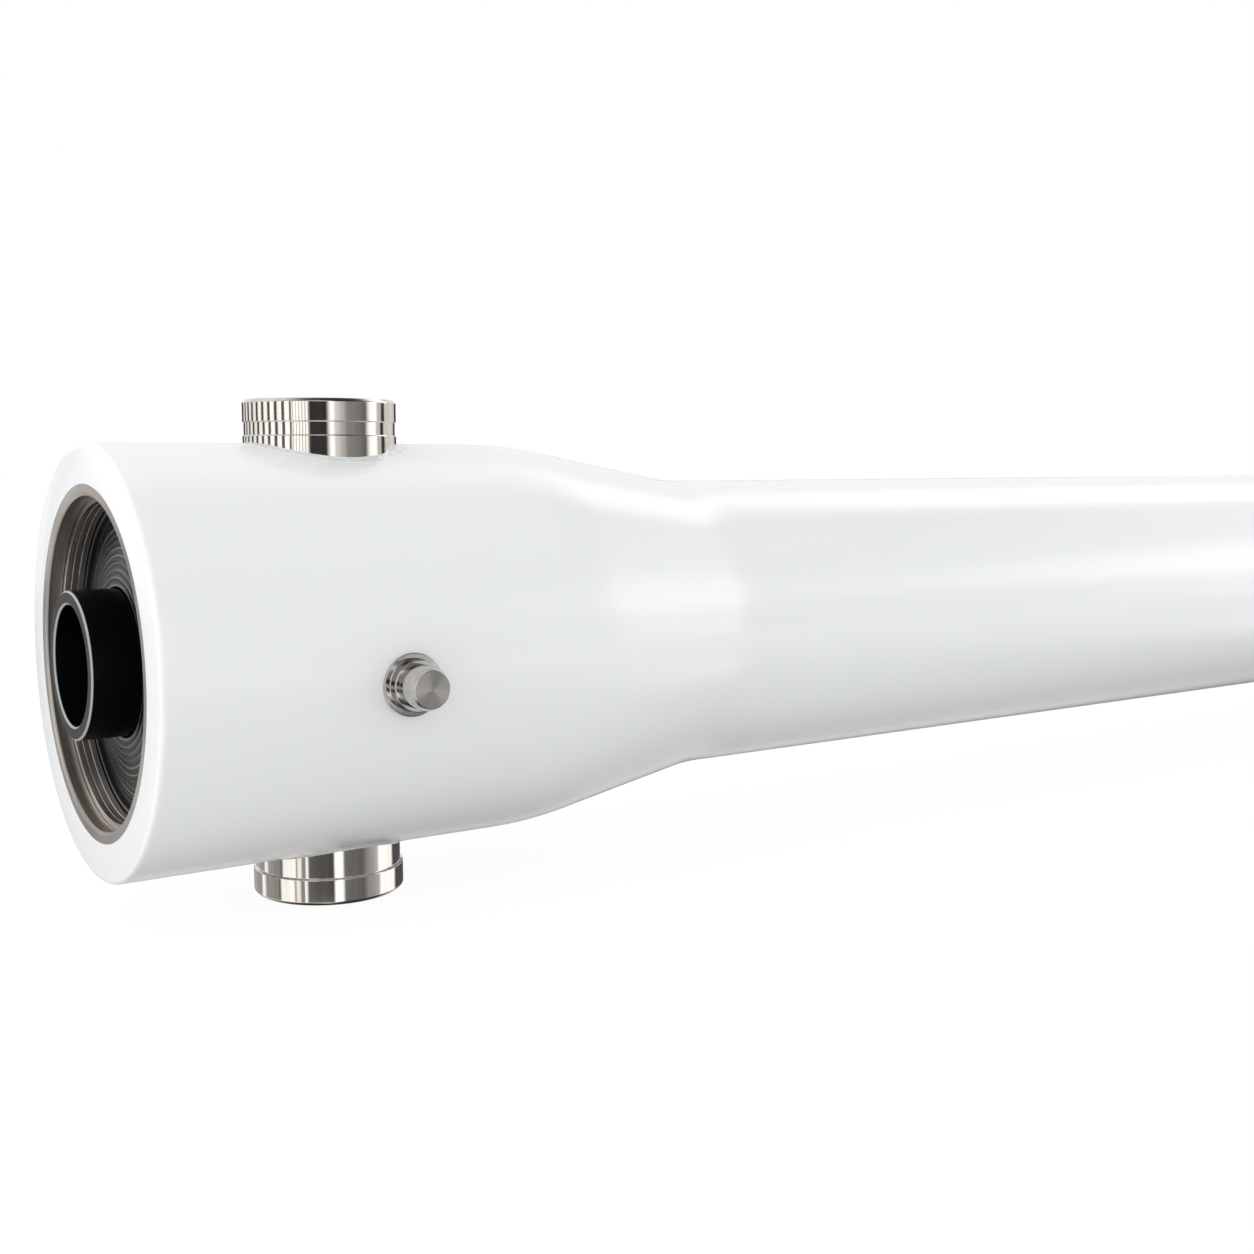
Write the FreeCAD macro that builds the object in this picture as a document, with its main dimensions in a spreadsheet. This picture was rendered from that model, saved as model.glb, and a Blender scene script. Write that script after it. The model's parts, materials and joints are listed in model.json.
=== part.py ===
import FreeCAD, Part
import os
import re

import Sketcher
from FreeCAD import Placement, Rotation, Vector

# Side-port membrane housing: a filament-wound shell with two thick heads, closed at each end
# by a plate assembly behind a spiral retaining ring. Millimetres. The origin is the middle of
# the bore, +X runs along the shell from the near end to the far end, and +Z is up.

# Driving sizes: name, value and what it is.
SIZES = [
    ("shell_length", 2558, "wound shell, end face to end face"),
    ("bore_diameter", 202, "bore that the membranes slide in"),
    ("head_wall", 46, "wall of each thick head, round the bore"),
    ("barrel_wall", 17, "wall of the barrel between the heads"),
    ("head_length", 311, "end face to the sharp start of the taper"),
    ("taper_length", 157, "length of the taper from head to barrel"),
    ("shoulder_blend", 316, "rounding radius where head meets taper"),
    ("neck_blend", 190, "rounding radius where taper meets barrel"),
    ("mouth_rounding", 4, "rounding of the end face's outer edge"),
    ("bond_gap", 0.1, "bond line round what is wound or glued in"),
    ("running_gap", 0.5, "radial gap round what slides in or out"),
    ("seal_gap", 0.3, "gap left at a seal's sliding side"),
    ("insert_height", 19, "locking insert at the mouth, beyond the bore"),
    ("insert_wedge_height", 28, "locking insert at its widest, beyond the bore"),
    ("insert_collar", 6, "straight length of the insert at the mouth"),
    ("insert_wedge_start", 28, "depth where the wedge is full width"),
    ("insert_wedge_end", 44, "depth where the wedge starts to narrow"),
    ("insert_tail_height", 6, "locking insert at its inner end, beyond the bore"),
    ("insert_length", 66, "depth of the insert's inner end"),
    ("land_height", 11, "inside of the insert, beyond the bore"),
    ("mouth_chamfer", 2, "chamfer at the insert's mouth"),
    ("lead_in_length", 9, "ramp from the insert down to the bore"),
    ("ring_station", 11, "depth of the retaining ring's outer side"),
    ("ring_turns", 3, "turns of the retaining ring"),
    ("wire_thickness", 4.5, "retaining ring wire, along the bore"),
    ("wire_width", 9.4, "retaining ring wire, across the bore"),
    ("turn_gap", 0.1, "gap between two turns"),
    ("ring_play", 0.2, "gap each side of the ring in its groove"),
    ("groove_depth", 5.6, "retaining groove below the insert's land"),
    ("plate_thickness", 27, "bearing plate from rim to back"),
    ("plate_rim_width", 7.5, "flat rim that the ring bears on"),
    ("plate_rim_step", 3.5, "step from the rim down to the dished face"),
    ("plate_hub_rise", 9, "height of the hub above the foot of the step"),
    ("plate_hub_width", 8, "flat of the hub round the port"),
    ("seal_plate_thickness", 32, "sealing plate"),
    ("head_seal_station", 71, "depth of the head seal's groove"),
    ("head_seal_width", 7, "head seal along the bore"),
    ("head_seal_depth", 6, "groove of the head seal"),
    ("port_diameter", 99.8, "outside of the product port"),
    ("port_wall", 9.3, "wall of the product port"),
    ("port_proud", 13, "how far the port stands out of the end face"),
    ("port_chamfer", 1.2, "chamfers of the port's front rim"),
    ("port_shank_step", 0.6, "port in the plates, beyond its free end"),
    ("port_shank_show", 0.4, "that step outside the bearing plate's hub"),
    ("port_bore_depth", 76, "depth of the port's inner web"),
    ("port_flange_width", 12.1, "flange behind the sealing plate, beyond the port"),
    ("port_flange_thickness", 8, "that flange"),
    ("port_seal_station", 62, "depth of the port seal's groove"),
    ("port_seal_width", 6, "port seal along the port"),
    ("port_seal_depth", 4.4, "groove of the port seal"),
    ("snap_ring_thickness", 4, "split ring that holds the port"),
    ("snap_ring_depth", 3.4, "groove of the split ring in the port"),
    ("snap_ring_height", 4.1, "split ring above the port"),
    ("socket_diameter", 34, "socket that the adapter plugs into"),
    ("socket_wall", 7, "wall of that socket"),
    ("socket_reach", 20, "socket beyond the port's flange"),
    ("adapter_wall", 5.7, "wall of the product adapter"),
    ("adapter_length", 84, "product adapter"),
    ("adapter_collar_height", 6.3, "stop collar round the adapter"),
    ("adapter_collar_width", 4, "that collar"),
    ("adapter_seal_width", 3.5, "adapter seals"),
    ("adapter_seal_depth", 2.6, "grooves of the adapter seals"),
    ("screw_count", 4, "screws that hold the two plates together"),
    ("screw_inset", 17, "screws inside the bore's wall"),
    ("screw_diameter", 8, "screw shank"),
    ("screw_head_overhang", 2.5, "screw head beyond its shank"),
    ("screw_head_height", 8, "screw head"),
    ("screw_bite", 14, "screw in the bearing plate"),
    ("screw_drill_rest", 1, "tapped hole beyond the screw's end"),
    ("cone_base_clearance", 8, "thrust cone's base round the port's flange"),
    ("cone_end_inset", 13, "thrust cone's far end inside the bore's wall"),
    ("cone_length", 156, "thrust cone"),
    ("cone_wall", 6, "thrust cone"),
    ("cone_window_length", 100, "water windows of the cone"),
    ("cone_window_width", 40, "water windows of the cone"),
    ("window_pair_count", 3, "pairs of facing windows in the cone"),
    ("nozzle_station", 167.5, "end face to the side nozzles"),
    ("nozzle_diameter", 108, "outside of a side nozzle"),
    ("nozzle_wall", 6, "wall of a side nozzle"),
    ("nozzle_standout", 31, "head to a nozzle's rim"),
    ("nozzle_groove_depth", 2.1, "coupling groove of a nozzle"),
    ("upper_lip", 16, "lip of an upper nozzle"),
    ("upper_groove", 9.5, "coupling groove of an upper nozzle"),
    ("lower_lip", 19, "lip of a lower nozzle"),
    ("lower_groove", 29, "plain neck of a lower nozzle, into the head"),
    ("nozzle_rounding", 2, "rounding of a nozzle's rim"),
    ("nozzle_flange_width", 7, "inner flange of a nozzle, beyond its tube"),
    ("nozzle_flange_height", 8, "bore's wall to that flange's seat"),
    ("nozzle_seal_width", 5, "seal round a nozzle"),
    ("nozzle_seal_depth", 3, "groove of that seal"),
    ("upper_resin_radius", 8, "resin fillet round an upper nozzle"),
    ("lower_resin_radius", 4, "resin bead round a lower nozzle"),
    ("fitting_station", 164.5, "end face to the sample fitting"),
    ("fitting_drop", 9.5, "sample fitting below the shell's axis"),
    ("boss_sink", 3.6, "seat of the boss below the head's surface"),
    ("boss_flange_width", 3.8, "flange of the sample boss, beyond the boss"),
    ("boss_flange_rise", 2, "head's surface to that flange's face"),
    ("boss_wall", 7.3, "sample boss round its thread"),
    ("boss_rise", 10, "head's surface to the boss's face"),
    ("boss_shank_wall", 3.1, "boss in the laminate, round its thread"),
    ("boss_cover", 3, "bore's wall to the boss's inner end"),
    ("sample_passage", 7, "passage through the boss"),
    ("plug_head_overhang", 4.6, "sample plug's head beyond its shank"),
    ("plug_head_height", 13, "sample plug's head below its crown"),
    ("plug_crown_height", 5, "conical crown of the plug"),
    ("plug_crown_inset", 3.1, "turned face of the plug inside its head"),
    ("plug_shank_diameter", 19.6, "threaded shank of the plug"),
    ("plug_shank_length", 15, "threaded shank of the plug"),
    ("thread_run_out", 2, "tapped hole beyond the plug's end"),
    ("thread_gap", 0.1, "radial gap in the plug's thread"),
    ("plug_seal_width", 2.4, "ring under the plug's head"),
    ("plug_seal_height", 2.4, "ring under the plug's head"),
]
SIZE_NAMES = {name for name, value, note in SIZES}

# Places that several pieces share, worked out from the driving sizes.
RING_DEPTH = "(ring_turns * wire_thickness + (ring_turns - 1) * turn_gap)"
PLATE_RIM = f"(ring_station + {RING_DEPTH} + ring_play)"
PLATE_BACK = f"({PLATE_RIM} + plate_thickness)"
SEAL_PLATE_BACK = f"({PLATE_BACK} + seal_plate_thickness)"
FLANGE_BACK = f"({SEAL_PLATE_BACK} + port_flange_thickness)"
SOCKET_END = f"({FLANGE_BACK} + socket_reach)"
HUB_FACE = f"({PLATE_RIM} + plate_rim_step - plate_hub_rise)"
BORE = "(bore_diameter / 2)"
HEAD = f"({BORE} + head_wall)"
BARREL = f"({BORE} + barrel_wall)"
LAND = f"({BORE} + land_height)"
INSERT = f"({BORE} + insert_height)"
INSERT_WEDGE = f"({BORE} + insert_wedge_height)"
INSERT_TAIL = f"({BORE} + insert_tail_height)"
PORT = "(port_diameter / 2)"
PORT_SHANK = "(port_diameter / 2 + port_shank_step)"
PORT_INSIDE = "(port_diameter / 2 - port_wall)"
PORT_HOLE = f"({PORT_SHANK} + seal_gap)"
PORT_FLANGE = "(port_diameter / 2 + port_flange_width)"
SEAL_PLATE_RIM = f"({BORE} - running_gap)"
SCREW_RING = f"({BORE} - screw_inset)"
SCREW_HEAD = "(screw_diameter / 2 + screw_head_overhang)"
CONE_BASE = f"({PORT_FLANGE} + cone_base_clearance)"
ADAPTER = "(socket_diameter / 2 - seal_gap)"
NOZZLE = "(nozzle_diameter / 2)"
NOZZLE_FLANGE = "(nozzle_diameter / 2 + nozzle_flange_width)"
NOZZLE_RIM = f"({HEAD} + nozzle_standout)"
NOZZLE_SEAT = f"({BORE} + nozzle_flange_height)"
NOZZLE_SEAL = f"({NOZZLE_SEAT} + nozzle_seal_width)"
FITTING_HOLE = "(plug_shank_diameter / 2 + thread_gap)"
BOSS = f"({FITTING_HOLE} + boss_wall)"
BOSS_SHANK = f"({FITTING_HOLE} + boss_shank_wall)"
BOSS_SEAT = f"({HEAD} - boss_sink)"
BOSS_FLANGE = f"({BOSS} + boss_flange_width)"
BOSS_FACE = f"({HEAD} + boss_rise)"
PLUG_HEAD = "(plug_shank_diameter / 2 + plug_head_overhang)"

# Places and radii that differ by less than this are the same edge.
SAME = 0.01

# Degrees of a flat turn of the retaining ring, before its crimp, and of the split snap ring.
FLAT_TURN = 300
SPLIT_TURN = 336

# Each end of the shell: the sign of its X, and its turn about Z.
ENDS = {"near": (-1, 0), "far": (1, 180)}

doc = FreeCAD.newDocument("membrane_housing")
sheet = doc.addObject("Spreadsheet::Sheet", "sizes")
for row, (size_name, size_value, size_note) in enumerate(SIZES, start=1):
    sheet.set(f"A{row}", str(size_value))
    sheet.setAlias(f"A{row}", size_name)
    sheet.set(f"B{row}", size_note)
doc.recompute()

nodes = []


# Bound sizes, bodies and sketches


def in_sheet(words):
    """Turn an expression in plain size names into one that reads the sheet."""
    return re.sub(r"[a-z][a-z_]+", lambda word: named(word.group(0)), words)


def named(word):
    return "sizes." + word if word in SIZE_NAMES else word


def bind(target, path, words):
    target.setExpression(path, in_sheet(words))


def number(words):
    return float(sheet.evalExpression(in_sheet(words)))


def new_body(label):
    body = doc.addObject("PartDesign::Body", label)
    body.Label = label
    nodes.append(body)
    return body


def origin_feature(body, role):
    return next(item for item in body.Origin.OriginFeatures if item.Role == role)


def new_sketch(body, name, plane):
    sketch = body.newObject("Sketcher::SketchObject", name)
    sketch.AttachmentSupport = (origin_feature(body, plane), [""])
    sketch.MapMode = "FlatFace"
    return sketch


def outline(sketch, corners):
    """Closed outline through the corners, each held at its own two expressions."""
    count = len(corners)
    points = [Vector(number(across), number(up), 0) for across, up in corners]
    sketch.addGeometry([Part.LineSegment(points[i], points[(i + 1) % count]) for i in range(count)])
    for i in range(count):
        sketch.addConstraint(Sketcher.Constraint("Coincident", i, 2, (i + 1) % count, 1))
    for i, (across, up) in enumerate(corners):
        place = sketch.addConstraint(Sketcher.Constraint("DistanceX", -1, 1, i, 1, points[i].x))
        bind(sketch, f"Constraints[{place}]", across)
        place = sketch.addConstraint(Sketcher.Constraint("DistanceY", -1, 1, i, 1, points[i].y))
        bind(sketch, f"Constraints[{place}]", up)


def circle(sketch, across, up, radius):
    centre = Vector(number(across), number(up), 0)
    index = sketch.addGeometry(Part.Circle(centre, Vector(0, 0, 1), number(radius)))
    place = sketch.addConstraint(Sketcher.Constraint("DistanceX", -1, 1, index, 3, centre.x))
    bind(sketch, f"Constraints[{place}]", across)
    place = sketch.addConstraint(Sketcher.Constraint("DistanceY", -1, 1, index, 3, centre.y))
    bind(sketch, f"Constraints[{place}]", up)
    place = sketch.addConstraint(Sketcher.Constraint("Radius", index, number(radius)))
    bind(sketch, f"Constraints[{place}]", radius)


# Features that several pieces use


def turned(body, name, corners, plane="XZ_Plane", axis="H_Axis", degrees=360):
    """Turn an outline about the sketch's own axis."""
    sketch = new_sketch(body, name + "_outline", plane)
    outline(sketch, corners)
    feature = body.newObject("PartDesign::Revolution", name)
    feature.Profile = sketch
    feature.ReferenceAxis = (sketch, [axis])
    feature.Angle = degrees
    return feature


def pocket(body, name, sketch, depth=None, both_ways=False, away=False):
    """Cut a sketch through everything, or to a depth, and see that it does cut."""
    doc.recompute()
    before = body.Shape.Volume
    feature = body.newObject("PartDesign::Pocket", name)
    feature.Profile = sketch
    feature.SideType = "Symmetric" if both_ways else "One side"
    feature.Type = "ThroughAll" if depth is None else "Length"
    if depth is not None:
        bind(feature, "Length", depth)
    feature.Reversed = away
    doc.recompute()
    if feature.Shape.Volume >= before:
        raise RuntimeError(f"{body.Label}: {name} cuts nothing")
    return feature


def rounded(body, name, edges, radius):
    doc.recompute()
    base = body.Tip
    feature = body.newObject("PartDesign::Fillet", name)
    feature.Base = (base, edges)
    bind(feature, "Radius", radius)
    return feature


def round_edges(body, axis, along, radius):
    """Names of the full circles about an axis (0 for X, 2 for Z) at a place and radius."""
    doc.recompute()
    found = []
    for index, edge in enumerate(body.Tip.Shape.Edges, start=1):
        if not isinstance(edge.Curve, Part.Circle):
            continue
        if abs(edge.Curve.Center[axis] - along) < SAME and abs(edge.Curve.Radius - radius) < SAME:
            found.append(f"Edge{index}")
    return found


def place_at_end(body, end, inward="0", drop="0"):
    """Place a piece that is drawn from the near end face, at either end."""
    side, turn = ENDS[end]
    body.Placement = Placement(Vector(0, 0, 0), Rotation(Vector(0, 0, 1), turn))
    bind(body, "Placement.Base.x", f"{side} * (shell_length / 2 - ({inward}))")
    bind(body, "Placement.Base.z", f"-({drop})")


# Shell


def make_shell():
    body = new_body("shell")
    near = "-shell_length / 2 + "
    far = "shell_length / 2 - "
    outside = [
        ("0", HEAD),
        ("head_length", HEAD),
        ("head_length + taper_length", BARREL),
    ]
    mouth = [
        ("insert_length + bond_gap", BORE),
        ("insert_length + bond_gap", f"{INSERT_TAIL} + bond_gap"),
        ("insert_wedge_end", f"{INSERT_WEDGE} + bond_gap"),
        ("insert_wedge_start", f"{INSERT_WEDGE} + bond_gap"),
        ("insert_collar", f"{INSERT} + bond_gap"),
        ("0", f"{INSERT} + bond_gap"),
    ]
    one_end = mouth + outside
    corners = [(f"{near}({depth})", radius) for depth, radius in one_end]
    corners += [(f"{far}({depth})", radius) for depth, radius in reversed(one_end)]
    turned(body, "wound_shell", corners)
    for end, (side, turn) in ENDS.items():
        shoulder = side * number("shell_length / 2 - head_length")
        neck = side * number("shell_length / 2 - head_length - taper_length")
        face = side * number("shell_length / 2")
        head = number(HEAD)
        rounded(body, end + "_shoulder", round_edges(body, 0, shoulder, head), "shoulder_blend")
        barrel = number(BARREL)
        rounded(body, end + "_neck", round_edges(body, 0, neck, barrel), "neck_blend")
        rounded(body, end + "_mouth_edge", round_edges(body, 0, face, head), "mouth_rounding")
    holes = new_sketch(body, "nozzle_holes_outline", "XY_Plane")
    seats = new_sketch(body, "nozzle_seats_outline", "XY_Plane")
    for side, turn in ENDS.values():
        station = f"{side} * (shell_length / 2 - nozzle_station)"
        circle(holes, station, "0", f"{NOZZLE} + bond_gap")
        circle(seats, station, "0", f"{NOZZLE_FLANGE} + bond_gap")
    pocket(body, "nozzle_holes", holes, both_ways=True)
    pocket(body, "nozzle_seats", seats, depth=f"2 * ({NOZZLE_SEAT} + bond_gap)", both_ways=True)
    for end, (side, turn) in ENDS.items():
        station = f"{side} * (shell_length / 2 - fitting_station)"
        hole = new_sketch(body, end + "_fitting_hole_outline", "XZ_Plane")
        circle(hole, station, "-fitting_drop", f"{BOSS_SHANK} + bond_gap")
        pocket(body, end + "_fitting_hole", hole, away=(end == "near"))
        seat = new_sketch(body, end + "_fitting_seat_outline", "XZ_Plane")
        bind(seat, "AttachmentOffset.Base.z", f"{-side} * ({BOSS_SEAT} - bond_gap)")
        circle(seat, station, "-fitting_drop", f"{BOSS_FLANGE} + bond_gap")
        pocket(body, end + "_fitting_seat", seat, away=(end == "near"))


# Locking insert and retaining ring


def make_insert(end):
    groove_start = "ring_station - ring_play"
    groove_end = f"ring_station + {RING_DEPTH} + ring_play"
    body = new_body(end + "_locking_insert")
    turned(body, end + "_insert", [
        ("0", INSERT),
        ("insert_collar", INSERT),
        ("insert_wedge_start", INSERT_WEDGE),
        ("insert_wedge_end", INSERT_WEDGE),
        ("insert_length", INSERT_TAIL),
        ("insert_length", BORE),
        ("insert_length - lead_in_length", LAND),
        (groove_end, LAND),
        (groove_end, f"{LAND} + groove_depth"),
        (groove_start, f"{LAND} + groove_depth"),
        (groove_start, LAND),
        ("mouth_chamfer", LAND),
        ("0", f"{LAND} + mouth_chamfer"),
    ])
    place_at_end(body, end)


def wire_section(body, name, turn, start_angle):
    """Sketch of the wire's section, turned to a start angle round the bore."""
    sketch = new_sketch(body, name, "XZ_Plane")
    sketch.AttachmentOffset = Placement(Vector(0, 0, 0), Rotation(Vector(1, 0, 0), start_angle))
    outer = f"{LAND} + groove_depth - ring_play"
    first = f"ring_station + {turn} * (wire_thickness + turn_gap)"
    outline(sketch, [
        (first, outer),
        (f"{first} + wire_thickness", outer),
        (f"{first} + wire_thickness", f"{outer} - wire_width"),
        (first, f"{outer} - wire_width"),
    ])
    return sketch


def make_retaining_ring(end):
    """Flat turns of square wire, each joined to the next by a short rising crimp."""
    body = new_body(end + "_retaining_ring")
    turns = int(number("ring_turns"))
    for turn in range(turns):
        flat = body.newObject("PartDesign::Revolution", f"{end}_turn_{turn}")
        flat.Profile = wire_section(body, f"{end}_turn_{turn}_section", turn, 0)
        flat.ReferenceAxis = (flat.Profile[0], ["H_Axis"])
        flat.Angle = FLAT_TURN
        if turn == turns - 1:
            continue
        crimp = body.newObject("PartDesign::AdditiveHelix", f"{end}_crimp_{turn}")
        crimp.Profile = wire_section(body, f"{end}_crimp_{turn}_section", turn, FLAT_TURN)
        crimp.ReferenceAxis = (crimp.Profile[0], ["H_Axis"])
        crimp.Mode = "height-turns-angle"
        bind(crimp, "Height", "wire_thickness + turn_gap")
        crimp.Turns = (360 - FLAT_TURN) / 360
        doc.recompute()
    place_at_end(body, end)


# Closure


def make_bearing_plate(end):
    rim = f"{LAND} - running_gap"
    dish = f"{rim} - plate_rim_width"
    body = new_body(end + "_bearing_plate")
    turned(body, end + "_plate", [
        (PLATE_RIM, rim),
        (PLATE_BACK, rim),
        (PLATE_BACK, f"{PORT_SHANK} + snap_ring_height + running_gap"),
        (f"{PLATE_BACK} - snap_ring_thickness - ring_play", f"{PORT_SHANK} + snap_ring_height + running_gap"),
        (f"{PLATE_BACK} - snap_ring_thickness - ring_play", PORT_HOLE),
        (HUB_FACE, PORT_HOLE),
        (HUB_FACE, f"{PORT_HOLE} + plate_hub_width"),
        (f"{PLATE_RIM} + plate_rim_step", dish),
        (PLATE_RIM, dish),
    ])
    tapped = new_sketch(body, end + "_tapped_hole_outline", "YZ_Plane")
    bind(tapped, "AttachmentOffset.Base.z", PLATE_BACK)
    circle(tapped, "0", SCREW_RING, "screw_diameter / 2 + bond_gap")
    hole = pocket(body, end + "_tapped_hole", tapped, depth="screw_bite + screw_drill_rest")
    ring_of(body, end + "_tapped_holes", [hole], "screw_count")
    place_at_end(body, end)


def ring_of(body, name, features, count, degrees=360):
    """Repeat features round the bore's axis."""
    pattern = body.newObject("PartDesign::PolarPattern", name)
    pattern.Originals = features
    pattern.Axis = (origin_feature(body, "X_Axis"), [""])
    pattern.Angle = degrees
    bind(pattern, "Occurrences", count)
    body.Tip = pattern
    doc.recompute()
    return pattern


def make_seal_plate(end):
    body = new_body(end + "_sealing_plate")
    turned(body, end + "_seal_plate", [
        (PLATE_BACK, PORT_HOLE),
        (PLATE_BACK, SEAL_PLATE_RIM),
        ("head_seal_station", SEAL_PLATE_RIM),
        ("head_seal_station", f"{SEAL_PLATE_RIM} - head_seal_depth"),
        ("head_seal_station + head_seal_width", f"{SEAL_PLATE_RIM} - head_seal_depth"),
        ("head_seal_station + head_seal_width", SEAL_PLATE_RIM),
        (SEAL_PLATE_BACK, SEAL_PLATE_RIM),
        (SEAL_PLATE_BACK, PORT_HOLE),
    ])
    through = new_sketch(body, end + "_screw_hole_outline", "YZ_Plane")
    sunk = new_sketch(body, end + "_screw_sink_outline", "YZ_Plane")
    for sketch in (through, sunk):
        bind(sketch, "AttachmentOffset.Base.z", SEAL_PLATE_BACK)
    circle(through, "0", SCREW_RING, "screw_diameter / 2 + bond_gap")
    circle(sunk, "0", SCREW_RING, f"{SCREW_HEAD} + bond_gap")
    hole = pocket(body, end + "_screw_hole", through)
    sink = pocket(body, end + "_screw_sink", sunk, depth="screw_head_height")
    ring_of(body, end + "_screw_holes", [hole, sink], "screw_count")
    place_at_end(body, end)


def make_plate_screws(end):
    """One group of cap screws, put in from the wet side."""
    side, turn = ENDS[end]
    screws = []
    for index in range(int(number("screw_count"))):
        angle = 360 * index / number("screw_count")
        rods = []
        head_start = f"{SEAL_PLATE_BACK} - screw_head_height"
        shank_start = f"{PLATE_BACK} - screw_bite"
        for word, start, length, radius in (
            ("head", head_start, "screw_head_height", SCREW_HEAD),
            ("shank", shank_start, f"({head_start}) - ({shank_start})", "screw_diameter / 2"),
        ):
            rod = doc.addObject("Part::Cylinder", f"{end}_screw_{word}_{index}")
            bind(rod, "Radius", radius)
            bind(rod, "Height", length)
            rod.Placement = Placement(Vector(0, 0, 0), Rotation(Vector(0, 1, 0), 90))
            bind(rod, "Placement.Base.x", start)
            bind(rod, "Placement.Base.y", f"{SCREW_RING} * sin({angle} deg)")
            bind(rod, "Placement.Base.z", f"{SCREW_RING} * cos({angle} deg)")
            rods.append(rod)
        screw = doc.addObject("Part::Fuse", f"{end}_screw_{index}")
        screw.Base = rods[0]
        screw.Tool = rods[1]
        screws.append(screw)
    group = doc.addObject("Part::Compound", end + "_plate_screws")
    group.Label = end + "_plate_screws"
    group.Links = screws
    group.Placement = Placement(Vector(0, 0, 0), Rotation(Vector(0, 0, 1), turn))
    bind(group, "Placement.Base.x", f"{side} * shell_length / 2")
    nodes.append(group)


def make_ring(end, word, start, width, inner, outer, degrees=360):
    """Plain turned ring, such as a seal, between two depths and two radii."""
    body = new_body(f"{end}_{word}")
    turned(body, f"{end}_{word}_ring", [
        (start, inner),
        (start, outer),
        (f"{start} + {width}", outer),
        (f"{start} + {width}", inner),
    ], degrees=degrees)
    place_at_end(body, end)


def make_port(end):
    port_groove = f"{PORT_SHANK} - port_seal_depth"
    snap_groove = f"{PORT_SHANK} - snap_ring_depth"
    snap_start = f"{PLATE_BACK} - snap_ring_thickness - ring_play"
    shank_start = f"{HUB_FACE} - port_shank_show"
    body = new_body(end + "_product_port")
    turned(body, end + "_port", [
        ("-port_proud", f"{PORT_INSIDE} + port_chamfer"),
        ("-port_proud", f"{PORT} - port_chamfer"),
        ("-port_proud + port_chamfer", PORT),
        (shank_start, PORT),
        (shank_start, PORT_SHANK),
        (snap_start, PORT_SHANK),
        (snap_start, snap_groove),
        (PLATE_BACK, snap_groove),
        (PLATE_BACK, PORT_SHANK),
        ("port_seal_station", PORT_SHANK),
        ("port_seal_station", port_groove),
        ("port_seal_station + port_seal_width", port_groove),
        ("port_seal_station + port_seal_width", PORT_SHANK),
        (SEAL_PLATE_BACK, PORT_SHANK),
        (SEAL_PLATE_BACK, PORT_FLANGE),
        (FLANGE_BACK, PORT_FLANGE),
        (FLANGE_BACK, "socket_diameter / 2 + socket_wall"),
        (SOCKET_END, "socket_diameter / 2 + socket_wall"),
        (SOCKET_END, "socket_diameter / 2"),
        ("port_bore_depth", "socket_diameter / 2"),
        ("port_bore_depth", PORT_INSIDE),
        ("-port_proud + port_chamfer", PORT_INSIDE),
    ])
    place_at_end(body, end)


def adapter_grooves():
    """Depths of the adapter's two seal grooves, a third and two thirds along the socket."""
    return [f"({SOCKET_END} - {part} * (({SOCKET_END}) - port_bore_depth) / 3)" for part in (2, 1)]


def make_adapter(end):
    outer = ADAPTER
    floor = f"{ADAPTER} - adapter_seal_depth"
    inner_end = "port_bore_depth + bond_gap"
    corners = [(inner_end, f"{outer} - adapter_wall"), (inner_end, outer)]
    for start in adapter_grooves():
        corners += [
            (start, outer),
            (start, floor),
            (f"{start} + adapter_seal_width", floor),
            (f"{start} + adapter_seal_width", outer),
        ]
    collar = f"{SOCKET_END} + bond_gap"
    corners += [
        (collar, outer),
        (collar, f"{outer} + adapter_collar_height"),
        (f"{collar} + adapter_collar_width", f"{outer} + adapter_collar_height"),
        (f"{collar} + adapter_collar_width", outer),
        (f"{inner_end} + adapter_length", outer),
        (f"{inner_end} + adapter_length", f"{outer} - adapter_wall"),
    ]
    body = new_body(end + "_adapter")
    turned(body, end + "_adapter_tube", corners)
    place_at_end(body, end)


def make_adapter_seals(end):
    """The adapter's two rings, as one group."""
    side, turn = ENDS[end]
    rings = []
    for index, start in enumerate(adapter_grooves()):
        solid = {}
        for word, radius in (
            ("outside", "socket_diameter / 2 - bond_gap"),
            ("inside", f"{ADAPTER} - adapter_seal_depth + bond_gap"),
        ):
            rod = doc.addObject("Part::Cylinder", f"{end}_seal_{word}_{index}")
            bind(rod, "Radius", radius)
            bind(rod, "Height", "adapter_seal_width - bond_gap")
            rod.Placement = Placement(Vector(0, 0, 0), Rotation(Vector(0, 1, 0), 90))
            bind(rod, "Placement.Base.x", f"{start} + bond_gap / 2")
            solid[word] = rod
        ring = doc.addObject("Part::Cut", f"{end}_adapter_seal_{index}")
        ring.Base = solid["outside"]
        ring.Tool = solid["inside"]
        rings.append(ring)
    group = doc.addObject("Part::Compound", end + "_adapter_seals")
    group.Label = end + "_adapter_seals"
    group.Links = rings
    group.Placement = Placement(Vector(0, 0, 0), Rotation(Vector(0, 0, 1), turn))
    bind(group, "Placement.Base.x", f"{side} * shell_length / 2")
    nodes.append(group)


def make_closure(end):
    make_retaining_ring(end)
    make_bearing_plate(end)
    make_seal_plate(end)
    make_plate_screws(end)
    head_floor = f"{SEAL_PLATE_RIM} - head_seal_depth"
    make_ring(end, "head_seal", "head_seal_station + bond_gap", "head_seal_width - 2 * bond_gap",
              f"{head_floor} + bond_gap", f"{BORE} - seal_gap")
    make_port(end)
    make_ring(end, "port_seal", "port_seal_station + bond_gap", "port_seal_width - 2 * bond_gap",
              f"{PORT_SHANK} - port_seal_depth + bond_gap", f"{PORT_HOLE} - bond_gap")
    make_ring(end, "snap_ring", f"{PLATE_BACK} - snap_ring_thickness - bond_gap", "snap_ring_thickness",
              f"{PORT_SHANK} - snap_ring_depth + bond_gap", f"{PORT_SHANK} + snap_ring_height", degrees=SPLIT_TURN)
    make_adapter(end)
    make_adapter_seals(end)


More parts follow.
